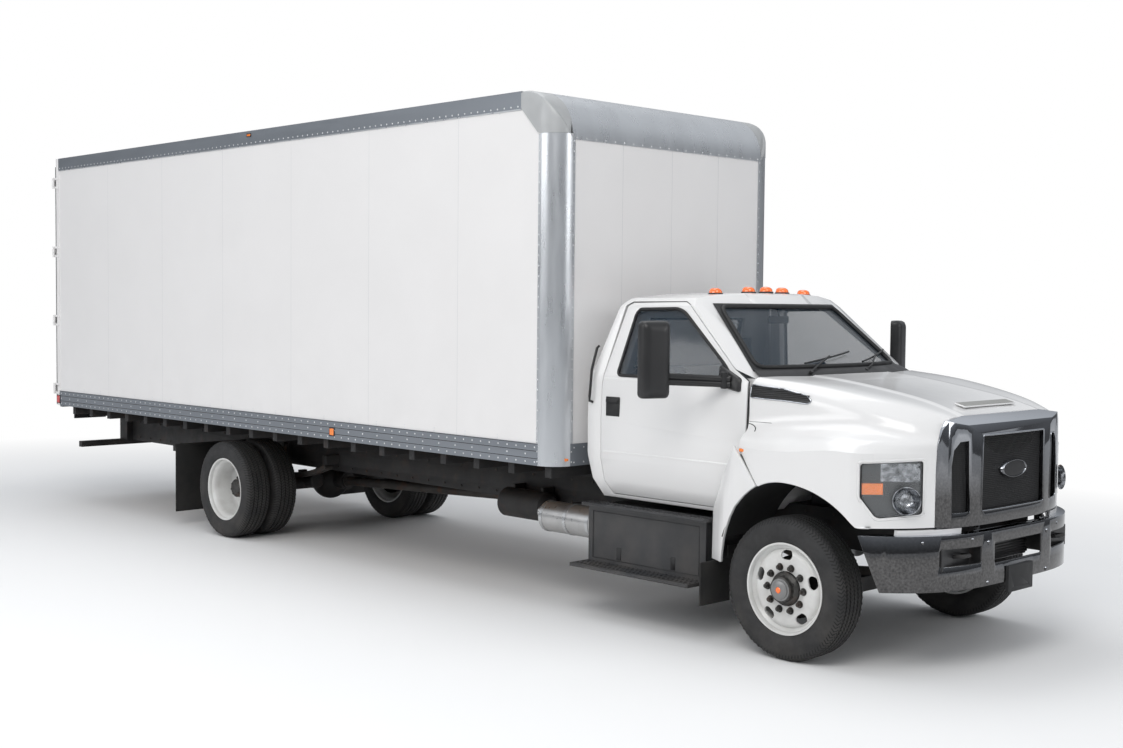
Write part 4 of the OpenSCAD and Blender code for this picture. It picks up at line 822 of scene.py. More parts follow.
def grille_x(y, back=30):
    return nose_face(y) - back


for y in range(-384, 385, 12):
    mesh.tube([(grille_x(y), y, z) for z in (1004, 1486)], 1.6, n=4)
for i in range(41):
    z = 1008 + 12 * i
    mesh.tube([(grille_x(y), y, z) for y in range(-390, 391, 39)], 1.6, n=4)
for s in (-1, 1):
    for k in range(13):
        y = s * (512 + 12 * k)
        mesh.tube([(grille_x(y), y, 1008), (grille_x(y), y, 1452)], 1.6, n=4)
    for i in range(38):
        z = 1010 + 12 * i
        mesh.tube([(grille_x(s * y), s * y, z) for y in range(505, 662, 26)], 1.6, n=4)
piece("grille_weave", mesh, MAT["trim_black"], HOOD, (), 60, weld=False)
bead = Part()
for outline, off in (([(-395, 1006), (-388, 1483), (388, 1483), (395, 1006)], 4),):
    bead.tube([(nose_face(y) - off + 2, y, z) for y, z in subdivided(rounded(outline, 14), 60)], 6, n=8, closed=True)
side_loop = [(-655, 1010), (-665, 1300), (-650, 1400), (-600, 1450), (-520, 1455), (-505, 1010)]
for s in (-1, 1):
    bead.tube([(nose_face(y) - 2, s * -y * -1 if s < 0 else -y, z) for y, z in subdivided(rounded(side_loop, 26), 40)], 6, n=8, closed=True)
# A bare oval where the badge was
def badge(d, k):
    return [(958 + d, k * 158 * math.cos(q), 1250 + k * 58 * math.sin(q)) for q in [2 * math.pi * i / 48 for i in range(48)]]
bead.ring([badge(-12, 1.0), badge(18, 1.0), badge(25, 0.95), badge(25, 0.90), badge(20, 0.87)], m=0)
bead.ring([badge(19, 0.89), badge(21, 0.86), badge(24, 0.5)], m=1)
piece("grille_beads", bead, [MAT["chrome_trim"], PLATE], HOOD, (), 50)

# ------------------------------------------------------------ bumper
bumper = dressed("front_bumper", CHASSIS, 3.5)
bumper.data.materials.append(PLATE)
for poly in bumper.data.polygons:
    if poly.center.x > at((1021, 0, 0)).x and poly.center.z < 0.645:
        poly.material_index = 1


def bumper_x(y):
    return 1020 - 434 * (abs(y) / 1170) ** 4.1


bits = Part()
for y in (-373, 373):
    for z in (559, 813):
        bits.dome((bumper_x(y) - 0.5, y, z), (1, 0, 0), 15, 8, 16)
for y in (-540, 540, -900, 900):
    bits.dome((bumper_x(y) - 0.5, y, 846), (1, -0.2 if y < 0 else 0.2, 0), 11, 6, 14)
piece("bumper_bolts", bits, MAT["chrome_trim"], CHASSIS, (), 45)
dark = Part()
for s in (-1, 1):
    dark.box((905, s * 470, 664), (940, s * 790, 806), 4, m=0)
    dark.tube([(940, s * 560, 745), (985, s * 560, 752), (1000, s * 575, 752), (1000, s * 640, 752), (985, s * 655, 752), (940, s * 655, 745)], 13, n=10, m=1)
    dark.tube([(bumper_x(s * y) - 7, s * y, z) for y, z in subdivided(rounded([(445, 690), (800, 690), (800, 800), (445, 800)], 14), 50)], 5, n=8, m=0, closed=True)
dark.box((880, -318, 655), (900, 318, 812), 4, m=0)
for i in range(7):
    dark.box((896, -300, 676 + 18 * i), (910, 300, 682 + 18 * i), 1.5, m=1)
dark.tube([(1013, y, z) for y, z in subdivided(rounded([(-300, 672), (300, 672), (300, 806), (-300, 806)], 14), 60)], 5, n=8, m=0, closed=True)
piece("bumper_inside", dark, [MAT["trim_black"], MAT["chassis_black"]], CHASSIS, (), 40)
plate = Part()
for y in (-89, 89):
    plate.hexnut((1034, y, 505), (1, 0, 0), 6, 5.6)
piece("front_plate_screws", plate, MAT["chrome_trim"], CHASSIS, (), 35)
val = Part()
vy = [-985 + 30 * i for i in range(15)]
val.ring([[(bumper_x(y) - 66, y, 862), (bumper_x(y) - 60, y, 916), (bumper_x(y) - 80, y, 918), (bumper_x(y) - 86, y, 864)] for y in vy])
val.both()
piece("bumper_valance", val, MAT["cab_white"], CHASSIS, (), 35)

# ------------------------------------------------------------ cab
dressed("cab_shell", CHASSIS, 5.0)
dressed("cowl_sides", CHASSIS, 6.0)
seal = Part()
loop = subdivided(rounded(SHIELD, 60, 6), 60)
seal.tube([(shield_x(y, z, 1), y, z) for y, z in loop], 17, n=10, closed=True, flat=1.0)
loop = subdivided(rounded(BACK_WINDOW, 50, 5), 60)
def back_x(z):
    return lerp(-1872, -1722, (z - 1750) / 505)
seal.tube([(back_x(z) - 1, y, z) for y, z in loop], 15, n=8, closed=True)
piece("window_seals", seal, RUBBER, CHASSIS, (), 50)
frit = Part()
wide = [(-868, 1838), (-712, 2294), (712, 2294), (868, 1838)]
ins, outs = subdivided(SHIELD, 1e9), subdivided(wide, 1e9)
k = 24
inner = [Vector(ins[i]).lerp(Vector(ins[(i + 1) % 4]), j / k) for i in range(4) for j in range(k)]
outer = [Vector(outs[i]).lerp(Vector(outs[(i + 1) % 4]), j / k) for i in range(4) for j in range(k)]
frit.ring([[(shield_x(q.x, q.y, 1.5), q.x, q.y) for q in inner], [(shield_x(q.x, q.y, 3), q.x, q.y) for q in outer]], caps=False)
ys = [-900 + 50 * i for i in range(37)]
def cowl_line(y, t):
    """From the windshield's foot to the hood's rear edge."""
    a = Vector((shield_x(y * 0.96, 1850, 6), y * 0.96, 1850))
    b = Vector((bow(-400, y) - 8, y, 1798 if abs(y) > 700 else 1800))
    return a.lerp(b, t) + Vector((0, 0, 5 * math.sin(math.pi * t)))
frit.ring([[cowl_line(y, t / 6) for y in ys] for t in range(7)], close=False, caps=False)
piece("windshield_border", frit, MAT["trim_black"], CHASSIS, ["cowl"], 50)
# Wipers, cowl slots, roof lamps, rods on the rear corners and the inside mirror
w = Part()
for s in (-1, 1):
    yb = s * 330 - 120
    w.rod((-318, yb, 1812), (-300, yb, 1838), 14, n=14)
    tip = (shield_x(yb + 330, 1930, 26), yb + 330, 1930)
    w.tube([(-306, yb, 1832), (shield_x(yb + 90, 1862, 30), yb + 90, 1862), tip], 7, n=8)
    a, b = (yb + 40, 1885), (yb + 640, 1955)
    w.tube([(shield_x(lerp(a[0], b[0], t / 8), lerp(a[1], b[1], t / 8), 14), lerp(a[0], b[0], t / 8), lerp(a[1], b[1], t / 8)) for t in range(9)], 7, n=8)
for i in range(-9, 10):
    y = i * 86
    x = -404 + 150 * max(0, 1 - (y / 1000) ** 2)
    w.box((x - 95, y - 30, 1799), (x - 30, y + 30, 1803), 1)
piece("wipers_and_slots", w, MAT["trim_black"], CHASSIS, (), 40)
lamp = Part()
for x, y, z in ((-1103, -524, 2358), (-1103, 524, 2358), (-1061, -200, 2371), (-1061, 200, 2371), (-1056, 0, 2374)):
    def oval(d, r, q, h):
        return [(x + d + r * 62 * math.cos(a), y + q * 44 * math.sin(a), z + h) for a in [2 * math.pi * i / 28 for i in range(28)]]
    lamp.ring([oval(0, 1.0, 1.0, -16), oval(0, 1.0, 1.0, 6), oval(0, 0.94, 0.94, 10)], m=0)
    lamp.ring([oval(0, 0.86, 0.86, 9), oval(0, 0.84, 0.84, 22), oval(-2, 0.74, 0.74, 34), oval(-4, 0.5, 0.5, 43), oval(-5, 0.2, 0.2, 46)], m=1)
piece("roof_lamps", lamp, [MAT["trim_black"], ORANGE], CHASSIS, (), 50)
rods = Part()
for s in (-1, 1):
    y = s * 1042
    rods.tube([(-1852, s * 1004, 1560), (-1852, y, 1572), (-1852, y, 1600), (-1846, y - s * 14, 1800), (-1838, y - s * 60, 1960), (-1838, s * 962, 1972)], 10, n=10)
rods.rod((-960, 0, 2290), (-930, 0, 2200), 7)
rods.box((-948, -120, 2150), (-928, 120, 2205), 8)
piece("grab_rods", rods, MAT["trim_black"], CHASSIS, (), 40)

for side, word in ((-1, "right"), (1, "left")):
    body = f"cab_door_{word}"
    dressed(f"door_{word}", body, 4.0)
    t = Part()
    loop = subdivided(rounded(WINDOW, 40, 6), 60)
    t.tube([(x, side * (cab_y(z) + 0.5), z) for x, z in loop], 12, n=8, closed=True)
    # Dark seal that closes the gap round the door
    loop = subdivided(rounded(DOOR, 10, 3), 80)
    t.tube([(x, side * (cab_y(z) - 16), z) for x, z in loop], 5, n=6, closed=True)
    t.box((-1712, side * 1008, 1468), (-1574, side * 1017, 1610), 4)
    t.box((-1704, side * 1015, 1566), (-1582, side * 1030, 1598), 6)
    t.rod((-1600, side * 1012, 1500), (-1600, side * 1019, 1500), 14, n=20)
    piece(f"door_trim_{word}", t, RUBBER, body, (), 45)
    c = Part()
    c.tube([(x, side * (cab_y(1210) - 1), 1210) for x in range(-1740, -530, 60)], 5, n=6, flat=1.8)
    c.tube([(x, side * (cab_y(1742) - 2), 1742) for x in range(-1740, -440, 60)], 5, n=6, flat=1.6)
    piece(f"door_crease_{word}", c, MAT["cab_white"], body, (), 45)
    # Mirror head in its own directions, turned 20 degrees
    T = Matrix.Rotation(math.radians(20 * side), 3, "Z")
    def mp(x, y, z):
        q = T @ Vector((x, y * -side, 0))
        return (q.x - 840, q.y + side * 1450, z)
    head = Part()
    outline = rounded([(-108, 1655), (108, 1655), (108, 2172), (-108, 2172)], 38, 6)
    def face(d, k):
        return [mp(d, y * k, 1913 + (z - 1913) * (1 - (1 - k) * 0.45)) for y, z in outline]
    head.ring([face(-36, 0.86), face(-45, 0.93), face(-45, 0.985), face(-30, 1.0), face(2, 0.985), face(24, 0.9), (face(38, 0.7)), face(40, 0.4)])
    for za, zb in ((1752, 1765), (1788, 1805)):
        head.tube([(-545, side * 1024, za), (-590, side * 1056, za), (-800, side * 1350, zb), mp(0, 60, zb)], 17, n=12, flat=1.25)
    head.rod((-580, side * 1046, 1722), (-580, side * 1046, 1836), 26, n=20, c=6)
    sail = rounded([(-470, 1700), (-660, 1738), (-668, 1880), (-600, 1850), (-468, 1790)], 22, 4)
    head.ring([[(x, side * (cab_y(z) - 1), z) for x, z in sail], [(x, side * (cab_y(z) + 14), z) for x, z in sail],
               [(-565 + (x + 565) * 0.86, side * (cab_y(z) + 24), 1780 + (z - 1780) * 0.86) for x, z in sail]])
    piece(f"mirror_{word}_head", head, MAT["trim_black"], body, [f"mirror_{word}"], 40)
    g = Part()
    for z0, z1 in ((1805, 2150), (1675, 1795)):
        o = rounded([(-88, z0), (88, z0), (88, z1), (-88, z1)], 22, 5)
        zc = (z0 + z1) / 2
        g.ring([[mp(-40, y, z) for y, z in o], [mp(-46.5, y, z) for y, z in o], [mp(-47.0, y * 0.9, zc + (z - zc) * 0.9) for y, z in o]])
    piece(f"mirror_glass_{word}", g, MIRROR, body, (), 40)

# ------------------------------------------------------------ seats and interior
def cushion(name, lo, hi, crown=26, lean=0.0, rows=(0.33, 0.66)):
    """A crowned cushion with drawn-in sides and two sewn channels; lean, meant to move its top backwards, is not used.
    """
    c = Part()
    nu, nv = 18, 14
    def pt(u, v, top):
        x, y = lerp(lo[0], hi[0], u), lerp(lo[1], hi[1], v)
        fu, fv = 4 * u * (1 - u), 4 * v * (1 - v)
        pull = 10 * (1 - fu) * fv, 10 * (1 - fv) * fu
        x += pull[0] * (1 if u < 0.5 else -1) * 0.6
        y += pull[1] * (1 if v < 0.5 else -1) * 0.6
        h = (min(1, fu * 2.2) * min(1, fv * 2.2)) ** 0.5
        z = hi[2] - crown + crown * h if top else lo[2] + 6 * (1 - h)
        if top:
            for q in rows:
                z -= 9 * math.exp(-((u - q) / 0.025) ** 2) * min(1, fv * 3)
        return x, y, z
    top = [[pt(i / nu, j / nv, True) for j in range(nv + 1)] for i in range(nu + 1)]
    low = [[pt(i / nu, j / nv, False) for j in range(nv + 1)] for i in range(nu + 1)]
    verts = [p for r in top for p in r] + [p for r in low for p in r]
    k = (nu + 1) * (nv + 1)
    idx = lambda i, j: i * (nv + 1) + j
    faces = []
    for i in range(nu):
        for j in range(nv):
            faces.append([idx(i, j), idx(i, j + 1), idx(i + 1, j + 1), idx(i + 1, j)])
            faces.append([k + idx(i, j), k + idx(i + 1, j), k + idx(i + 1, j + 1), k + idx(i, j + 1)])
    rim = [(i, 0) for i in range(nu)] + [(nu, j) for j in range(nv)] + [(i, nv) for i in range(nu, 0, -1)] + [(0, j) for j in range(nv, 0, -1)]
    for a, b in zip(rim, rim[1:] + rim[:1]):
        faces.append([idx(*a), idx(*b), k + idx(*b), k + idx(*a)])
    c.add([Vector((lo[0] + (p[0] - lo[0]), p[1], p[2])) for p in verts], faces)
    return c


def stood_up(part, base, angle):
    """Turns a flat cushion up about a line across the truck."""
    R = Matrix.Rotation(math.radians(angle), 3, "Y")
    o = Vector(base)
    part.v = [R @ (v - o) + o for v in part.v]
    return part


def soft(o):
    modify(o, "SUBSURF", levels=1, render_levels=1)
    o.data.shade_smooth()


first = True
for y, word in ((-480, "right"), (480, "left"), (0, "middle")):
    wide = 258 if y else 200
    lo, hi = (-1592 if y else -1552, y - wide, 1130), (-1066 if y else -1108, y + wide, 1284 if y else 1264)
    o = piece(f"seat_cushion_{word}", cushion("c", lo, hi), MAT["seat_fabric"], CHASSIS, ["seats"] if first else (), 60)
    soft(o)
    first = False
    if y:
        b = cushion("b", (-1590, y - 244, 1296), (-1030, y + 244, 1420), 24, rows=(0.3, 0.62))
        stood_up(b, (-1590, 0, 1296), -105.5)
        b.v = [v + Vector((122, 0, -4)) for v in b.v]
        o = piece(f"seat_back_{word}", b, MAT["seat_fabric"], CHASSIS, (), 60)
        soft(o)
        h = cushion("h", (-1700, y - 122, 1868), (-1545, y + 122, 1950), 18, rows=())
        stood_up(h, (-1700, 0, 1868), -93)
        h.v = [v + Vector((58, 0, 4)) for v in h.v]
        o = piece(f"head_rest_{word}", h, MAT["seat_fabric"], CHASSIS, (), 60)
        soft(o)
base = Part()
for y in (-480, 480):
    base.box((-1510, y - 240, 957), (-1090, y + 240, 1132), 12)
    for s in (-1, 1):
        base.rod((-1668, y + s * 60, 1820), (-1672, y + s * 60, 1880), 8)
base.box((-1550, -195, 957), (-1110, 195, 1132), 12)
piece("seat_bases", base, MAT["interior_grey"], CHASSIS, (), 35)
inner = Part()
inner.box((-862, 250, 1640), (-842, 520, 1700), 8)
inner.tube([(-905, 380, 1662), (-930, 380, 1672)], 52, n=24)
piece("dash_details", inner, MAT["trim_black"], CHASSIS, (), 40)
dressed("steering_wheel", "hand_wheel", 2.0)
dressed("dashboard", CHASSIS, 14.0)

# ------------------------------------------------------------ van body trim
rails = Part()
x0, x1 = BODY_REAR + 62, BODY_FRONT - 170
for s in (-1, 1):
    y = s * HALF_W
    # Thin black strips along the bottom rail stand for its grooves: painted shade
    for z, r in ((BODY_BOTTOM + 52, 4), (BODY_BOTTOM + 108, 4), (BODY_BOTTOM + 160, 3)):
        rails.box((x0, y - s * 1, z - r * 0.6), (x1, y + s * 0.6, z + r * 0.6), 0.5, m=1)
    for z in (BODY_BOTTOM + 26, BODY_BOTTOM + 82, BODY_BOTTOM + 136):
        x = x0 + 40
        while x < x1 - 20:
            rails.dome((x, y - s * 0.3, z), (0, s, 0), 7.5, 3, 7)
            x += 101.6 if z != BODY_BOTTOM + 82 else 203.2
    x = x0 + 30
    while x < BODY_FRONT - 400:
        rails.dome((x, y - s * 0.3, BODY_TOP - 112), (0, s, 0), 7.5, 3, 7)
        x += 76.2
    for i in range(21):
        x = x0 + 200 + i * 381
        for z in (BODY_BOTTOM + 178, BODY_BOTTOM + 200, BODY_TOP - 146):
            if x < BODY_FRONT - 400:
                rails.dome((x, y - s * 8.6, z), (0, s, 0), 6.5, 3.2, 7)
    # Post's edge rivets on the side and on the front
    z = BODY_BOTTOM + 30
    while z < BODY_TOP - 340:
        rails.dome((BODY_FRONT - 178, y - s * 0.3, z), (0, s, 0), 6.5, 3, 7)
        rails.dome((BODY_FRONT - 0.3, s * (HALF_W - 182), z), (1, 0, 0), 6.5, 3, 7)
        z += 76.2
for k in range(22):
    y = -1060 + k * 101
    rails.dome((BODY_FRONT - 0.3, y, BODY_BOTTOM + 136), (1, 0, 0), 7, 3, 7)
    rails.dome((BODY_FRONT - 0.3, y, BODY_BOTTOM + 26), (1, 0, 0), 7, 3, 7)
for k in range(22):
    rails.dome((BODY_FRONT - 0.3, -1060 + k * 101, BODY_TOP - 352), (1, 0, 0), 7, 3, 7)
piece("body_rivets", rails, [RIVET, MAT["chassis_black"]], CHASSIS, (), 40, weld=False)
strip = Part()
strip.box((BODY_FRONT - 8, -(HALF_W - 171), BODY_TOP - 366), (BODY_FRONT - 0.5, HALF_W - 171, BODY_TOP - 338), 2)
for s in (-1, 1):
    strip.box((x0, s * HALF_W - s * 8.4, BODY_TOP - 140), (BODY_FRONT - 385, s * HALF_W - s * 0.2, BODY_TOP - 128), 2)
    # Bright edges of the corner post
    strip.box((BODY_FRONT - 190, s * (HALF_W - 8), BODY_BOTTOM + 4), (BODY_FRONT - 166, s * (HALF_W - 0.3), BODY_TOP - 330), 2)
    strip.box((BODY_FRONT - 8, s * (HALF_W - 196), BODY_BOTTOM + 166), (BODY_FRONT - 0.3, s * (HALF_W - 168), BODY_TOP - 330), 2)
piece("body_strips", strip, MAT["post_aluminium"], CHASSIS, (), 35)
# Vertical panel joints of the plain sides, front and roof
seam = Part()
for i in range(1, 7):
    x = BODY_REAR + 60 + i * 1160
    for s in (-1, 1):
        seam.box((x - 1.2, s * (HALF_W - 8.2), BODY_BOTTOM + 166), (x + 1.2, s * (HALF_W - 7.7), BODY_TOP - 141), 0.1)
for k in (-1, 0, 1):
    seam.box((BODY_FRONT - 8.2, k * 560 - 1.2, BODY_BOTTOM + 166), (BODY_FRONT - 7.7, k * 560 + 1.2, BODY_TOP - 368), 0.1)
for i in range(1, 13):
    x = BODY_REAR + 60 + i * 610
    seam.box((x - 16, -HALF_W + 92, BODY_TOP - 14.2), (x + 16, HALF_W - 92, BODY_TOP - 10), 2)
piece("panel_joints", seam, MAT["roof_aluminium"], CHASSIS, (), 40)
marks = Part()
for s in (-1, 1):
    y = s * (HALF_W + 9)
    def mark(x, z, w, h, m, base=True):
        if base:
            marks.box((x - w - 8, y - s * 9.6, z - h - 7), (x + w + 8, y - s * 2.5, z + h + 7), 2, m=0)
        marks.box((x - w, y - s * 7, z - h), (x + w, y, z + h), 4, m=m)
    mark(-4770, 1150, 30, 30, 1)
    mark(BODY_REAR + 34, 1150, 34, 40, 2)
    mark(-6100, BODY_TOP - 40, 28, 10, 1)
    for y2 in (s * 1130,):
        marks.box((BODY_FRONT - 9, y2 - 22, 1118), (BODY_FRONT - 1, y2 + 22, 1140), 4, m=1)
piece("side_markers", marks, [MAT["trim_black"], AMBER, RED, DARK_AMBER], CHASSIS, (), 40)
dressed("rear_frame", CHASSIS, 3.0)

caps = Part()
roll_x, arc_x = BODY_FRONT - 340, BODY_FRONT - 170


def roll_z(x):
    return BODY_TOP - 340 + math.sqrt(max(0.0, 340**2 - max(0.0, x - roll_x) ** 2))


plan = [(arc_x + 169.9 * math.cos(math.radians(q)), -(HALF_W - 170) - 169.9 * math.sin(math.radians(q))) for q in range(0, 91, 6)]
plan += [(arc_x - 30 * i, -HALF_W + 0.1) for i in range(1, 8)]
cols = []
for x, y in plan:
    zt = roll_z(x) - 3.3
    low = 3525 + max(0.0, arc_x - 20 - x) * 1.05
    inward = Vector((x - arc_x, y + HALF_W - 170, 0)).normalized() if x > arc_x else Vector((0, -1, 0))
    col = [Vector((x, y, lerp(low, zt - 22, k / 5))) for k in range(6)]
    col += [Vector((x, y, zt - 22)) - inward * (22 * (1 - math.cos(w))) + Vector((0, 0, 22 * math.sin(w))) for w in (0.5, 1.05, 1.571)]
    y_in = -(HALF_W - 170)
    last = col[-1]
    for k in range(1, 5):
        yy = lerp(last.y, y_in, k / 4)
        col.append(Vector((last.x, yy, roll_z(last.x) - 3.3)))
    cols.append(col)
caps.ring(cols, close=False, caps=False)
caps.both()
cap_obj = piece("corner_castings", caps, MAT["cap_casting"], CHASSIS, ["corner_caps"], 45)
modify(cap_obj, "SOLIDIFY", thickness=0.006, offset=0)
cap_obj.data.shade_smooth()
cap_obj.data.set_sharp_from_angle(angle=math.radians(45))

# Back of the van body: door hardware rides on the doors, lamps on the frame
for side, word in ((-1, "right"), (1, "left")):
    body = f"load_door_{word}"
    dressed(f"cargo_door_{word}", body, 1.5)
    d = Part()
    xf = BODY_REAR - 38
    # Rubber edge, lock handle, keepers and hinge bolts
    loop = [(side * (HALF_W - 12), 1092), (side * 8, 1092), (side * 8, 3756), (side * (HALF_W - 12), 3756)]
    d.tube([(xf + 16, y, z) for y, z in loop], 9, n=8, closed=True, m=0, up=(1, 0, 0))
    y = side * (HALF_W - 760)
    d.tube([(xf - 10, y, 1500), (xf - 16.5, y, 1470), (xf - 16.5, y + side * 40, 1440), (xf - 16.5, y + side * 300, 1440)], 9, n=8, m=1)
    d.box((xf - 24, y + side * 200, 1405), (xf, y + side * 275, 1475), 3, m=1)
    for z in (1112, 3738):
        d.box((xf - 24, y - 26, z - 18), (xf, y + 26, z + 18), 4, m=1)
    for i in range(4):
        z = 1120 + 150 + i * (3730 - 1120 - 300) / 3
        for k in (60, 150, 240):
            d.dome((xf - 5, side * (HALF_W - k), z + 15), (-1, 0, 0), 9, 4, 10, m=1)
            d.dome((xf - 5, side * (HALF_W - k), z - 15), (-1, 0, 0), 9, 4, 10, m=1)
    piece(f"cargo_door_hardware_{word}", d, [RUBBER, MAT["tank_aluminium"]], body, (), 45)
rear = Part()
for s in (-1, 1):
    for k, m in ((0, 2), (1, 2), (2, 4)):
        y = s * (1010 - 130 * k)
        rear.rod((BODY_REAR + 20, y, 985), (BODY_REAR - 2, y, 985), 56, n=32, m=0, c=4)
        rear.rod((BODY_REAR + 10, y, 985), (BODY_REAR - 12, y, 985), 49, n=32, m=m, c=8)
    rear.box((BODY_REAR + 8, s * 1080, 920), (BODY_REAR + 30, s * 700, 1050), 4, m=0)
    for y in (s * 1200,):
        rear.box((BODY_REAR - 1, y - 20, 3790), (BODY_REAR + 4, y + 20, 3812), 3, m=2)
    # Anti-slip and mud marks on the guard bar, in the glowing red lamp material: their glow is painted light, though
    # they are no lamps
    rear.box((BODY_REAR - 14.5, s * 560, 598), (BODY_REAR - 11, s * 940, 647), 1, m=2)
for y in (-150, 0, 150):
    rear.box((BODY_REAR - 3, y - 28, 3782), (BODY_REAR + 3, y + 28, 3806), 3, m=2)
rear.box((BODY_REAR - 1, -160, 950), (BODY_REAR + 4, 160, 1060), 3, m=0)
rear.box((BODY_REAR + 2, -1240, 1060), (BODY_REAR + 60, 1240, 1081), 3, m=3)
piece("rear_lamps", rear, [MAT["trim_black"], AMBER, RED, MAT["rail_aluminium"], MAT["lamp_glass"]], CHASSIS, (), 40)

# ------------------------------------------------------------ steps, tank, canister, chassis details
st = Part()
for s in (-1, 1):
    for z, ya, yb, xa, xb in ((830, 975, 1083, -1866, -706), (392, 975, 1193, -1876, -756)):
        nx = int((xb - xa) / 40)
        for i in range(nx):
            x = lerp(xa + 14, xb - 26, i / (nx - 1))
            for yy in (0.2, 0.5, 0.8):
                y = lerp(ya, yb, yy)
                st.box((x, s * (y - 14), z), (x + 14, s * (y + 14), z + 4), 1.5)
        st.tube([(x, s * (yb + 1), z - 13) for x in (xa, xb)], 6, n=8)
piece("step_grips", st, MAT["box_black"], CHASSIS, (), 45)
dressed("side_box", CHASSIS, 5.0)
st = Part()
for x in (-1560, -1040):
    st.box((x - 22, -1024, 430), (x + 22, -1019, 520), 3)
st.box((-1820, -1023, 420), (-800, -1020, 424), 1)
st.box((-1820, -1023, 760), (-800, -1020, 764), 1)
for x in (-1822, -800):
    st.box((x - 2, -1023, 420), (x + 2, -1020, 764), 1)
piece("box_details", st, MAT["trim_black"], CHASSIS, (), 45)
bands = Part()
for x in (-2440, -2180, -1940):
    bands.lathe([(118.2, x - 16), (121, x - 15), (121, x + 15), (118.2, x + 16)], 0, 0, n=56)
bands.v = [Vector((v.y, -860 + v.x, 640 + v.z - 0)) for v in bands.v]
piece("canister_bands", bands, MAT["tank_aluminium"], CHASSIS, (), 45)
tank = Part()
for x in (-1700, -1010):
    tank.lathe([(225.2, x - 24), (228, x - 22), (228, x + 22), (225.2, x + 24)], 0, 0, n=64)
tank.v = [Vector((v.y, 800 + v.x, 585 + v.z)) for v in tank.v]
tank.rod((-1350, 930, 765), (-1350, 962, 806), 46, n=28)
tank.rod((-1350, 956, 800), (-1350, 972, 822), 52, n=28)
piece("tank_details", tank, MAT["chrome_trim"], CHASSIS, (), 45)
bolts = Part()
for s in (-1, 1):
    for x in range(-10000, 800, 230):
        for z in (690, 870):
            bolts.hexnut((x, s * 432, z), (0, s, 0), 10, 8)
    for cx, half, y, ez in ((0, 600, 470, 640), (-WHEELBASE, 720, 540, 690)):
        for e in (-1, 1):
            bolts.rod((cx + e * half, s * (y - 46), ez), (cx + e * half, s * (y + 46), ez), 26, n=20)
        zs = AXLE_Z + (55 if cx == 0 else 95)
        for dx in (-62, 62):
            for dy in (-42, 42):
                bolts.rod((cx + dx, s * (y + dy), zs - 90), (cx + dx, s * (y + dy), zs + 52), 9, n=10)
                bolts.hexnut((cx + dx, s * (y + dy), zs + 26), (0, 0, 1), 15, 16)
        bolts.rod((cx - 200, s * (y - 66), zs - 20), (cx - 90, s * (y - 66), 860), 26, n=16)
        for k in (-1, 1):
            bolts.box((cx + k * 300 - 22, s * (y - 40), zs + (20 if cx == 0 else 22)), (cx + k * 300 + 22, s * (y + 40), zs + 52 + 20), 3)
piece("chassis_bolts", bolts, MAT["spring_steel"], CHASSIS, (), 40)
# Brake chambers and air tanks under the frame
air = Part()
for s in (-1, 1):
    air.rod((-WHEELBASE + 330, s * 380, 520), (-WHEELBASE + 180, s * 380, 505), 80, n=32, c=16)
    air.rod((-WHEELBASE + 180, s * 380, 505), (-WHEELBASE + 90, s * 380, 500), 16, n=16)
air.rod((-3300, -560, 640), (-2760, -560, 640), 120, n=40, c=30)
air.rod((-4500, 560, 650), (-3900, 560, 650), 110, n=40, c=30)
for x in (-3200, -2860):
    air.box((x - 15, -560, 640), (x + 15, -434, 790), 3)
for x in (-4400, -4000):
    air.box((x - 15, 434, 640), (x + 15, 560, 790), 3)
piece("air_tanks", air, MAT["chassis_black"], CHASSIS, (), 40)
# Front cross sills seen under the body are bevelled C sections
dressed("floor_sills", CHASSIS, 3.0)
dressed("mudflaps", CHASSIS, 3.0)
dressed("frame", CHASSIS, 2.5)

# ------------------------------------------------------------ floor, light and camera
def emission_floor():
    m = bpy.data.materials.new("studio_floor")
    m.use_nodes = True
    nt = m.node_tree
    b = nt.nodes["Principled BSDF"]
    b.inputs["Base Color"].default_value = (0.86, 0.86, 0.86, 1)
    b.inputs["Roughness"].default_value = 0.9
    b.inputs["Specular IOR Level"].default_value = 0.1
    out = nt.nodes["Material Output"]
    tc = nt.nodes.new("ShaderNodeTexCoord")
    mp = nt.nodes.new("ShaderNodeMapping")
    mp.inputs["Scale"].default_value = (1 / 13.0, 1 / 9.0, 1)
    ln = nt.nodes.new("ShaderNodeVectorMath")
    ln.operation = "LENGTH"
    mr = nt.nodes.new("ShaderNodeMapRange")
    for key, v in (("From Min", 0.55), ("From Max", 1.0), ("To Min", 0.0), ("To Max", 1.0)):
        mr.inputs[key].default_value = v
    lp = nt.nodes.new("ShaderNodeLightPath")
    mu = nt.nodes.new("ShaderNodeMath")
    mu.operation = "MULTIPLY"
    em = nt.nodes.new("ShaderNodeEmission")
    em.inputs["Color"].default_value = (1, 1, 1, 1)
    em.inputs["Strength"].default_value = 1.0
    mx = nt.nodes.new("ShaderNodeMixShader")
    nt.links.new(tc.outputs["Object"], mp.inputs["Vector"])
    nt.links.new(mp.outputs["Vector"], ln.inputs[0])
    nt.links.new(ln.outputs["Value"], mr.inputs["Value"])
    nt.links.new(mr.outputs["Result"], mu.inputs[0])
    nt.links.new(lp.outputs["Is Camera Ray"], mu.inputs[1])
    nt.links.new(mu.outputs[0], mx.inputs[0])
    nt.links.new(b.outputs[0], mx.inputs[1])
    nt.links.new(em.outputs[0], mx.inputs[2])
    nt.links.new(mx.outputs[0], out.inputs["Surface"])
    return m


me = bpy.data.meshes.new("floor")
R = 60.0
me.from_pydata([(R * math.cos(math.pi * i / 32), R * math.sin(math.pi * i / 32), -0.001) for i in range(64)], [], [list(range(64))])
me.materials.append(emission_floor())
floor = bpy.data.objects.new("floor", me)
scene.collection.objects.link(floor)

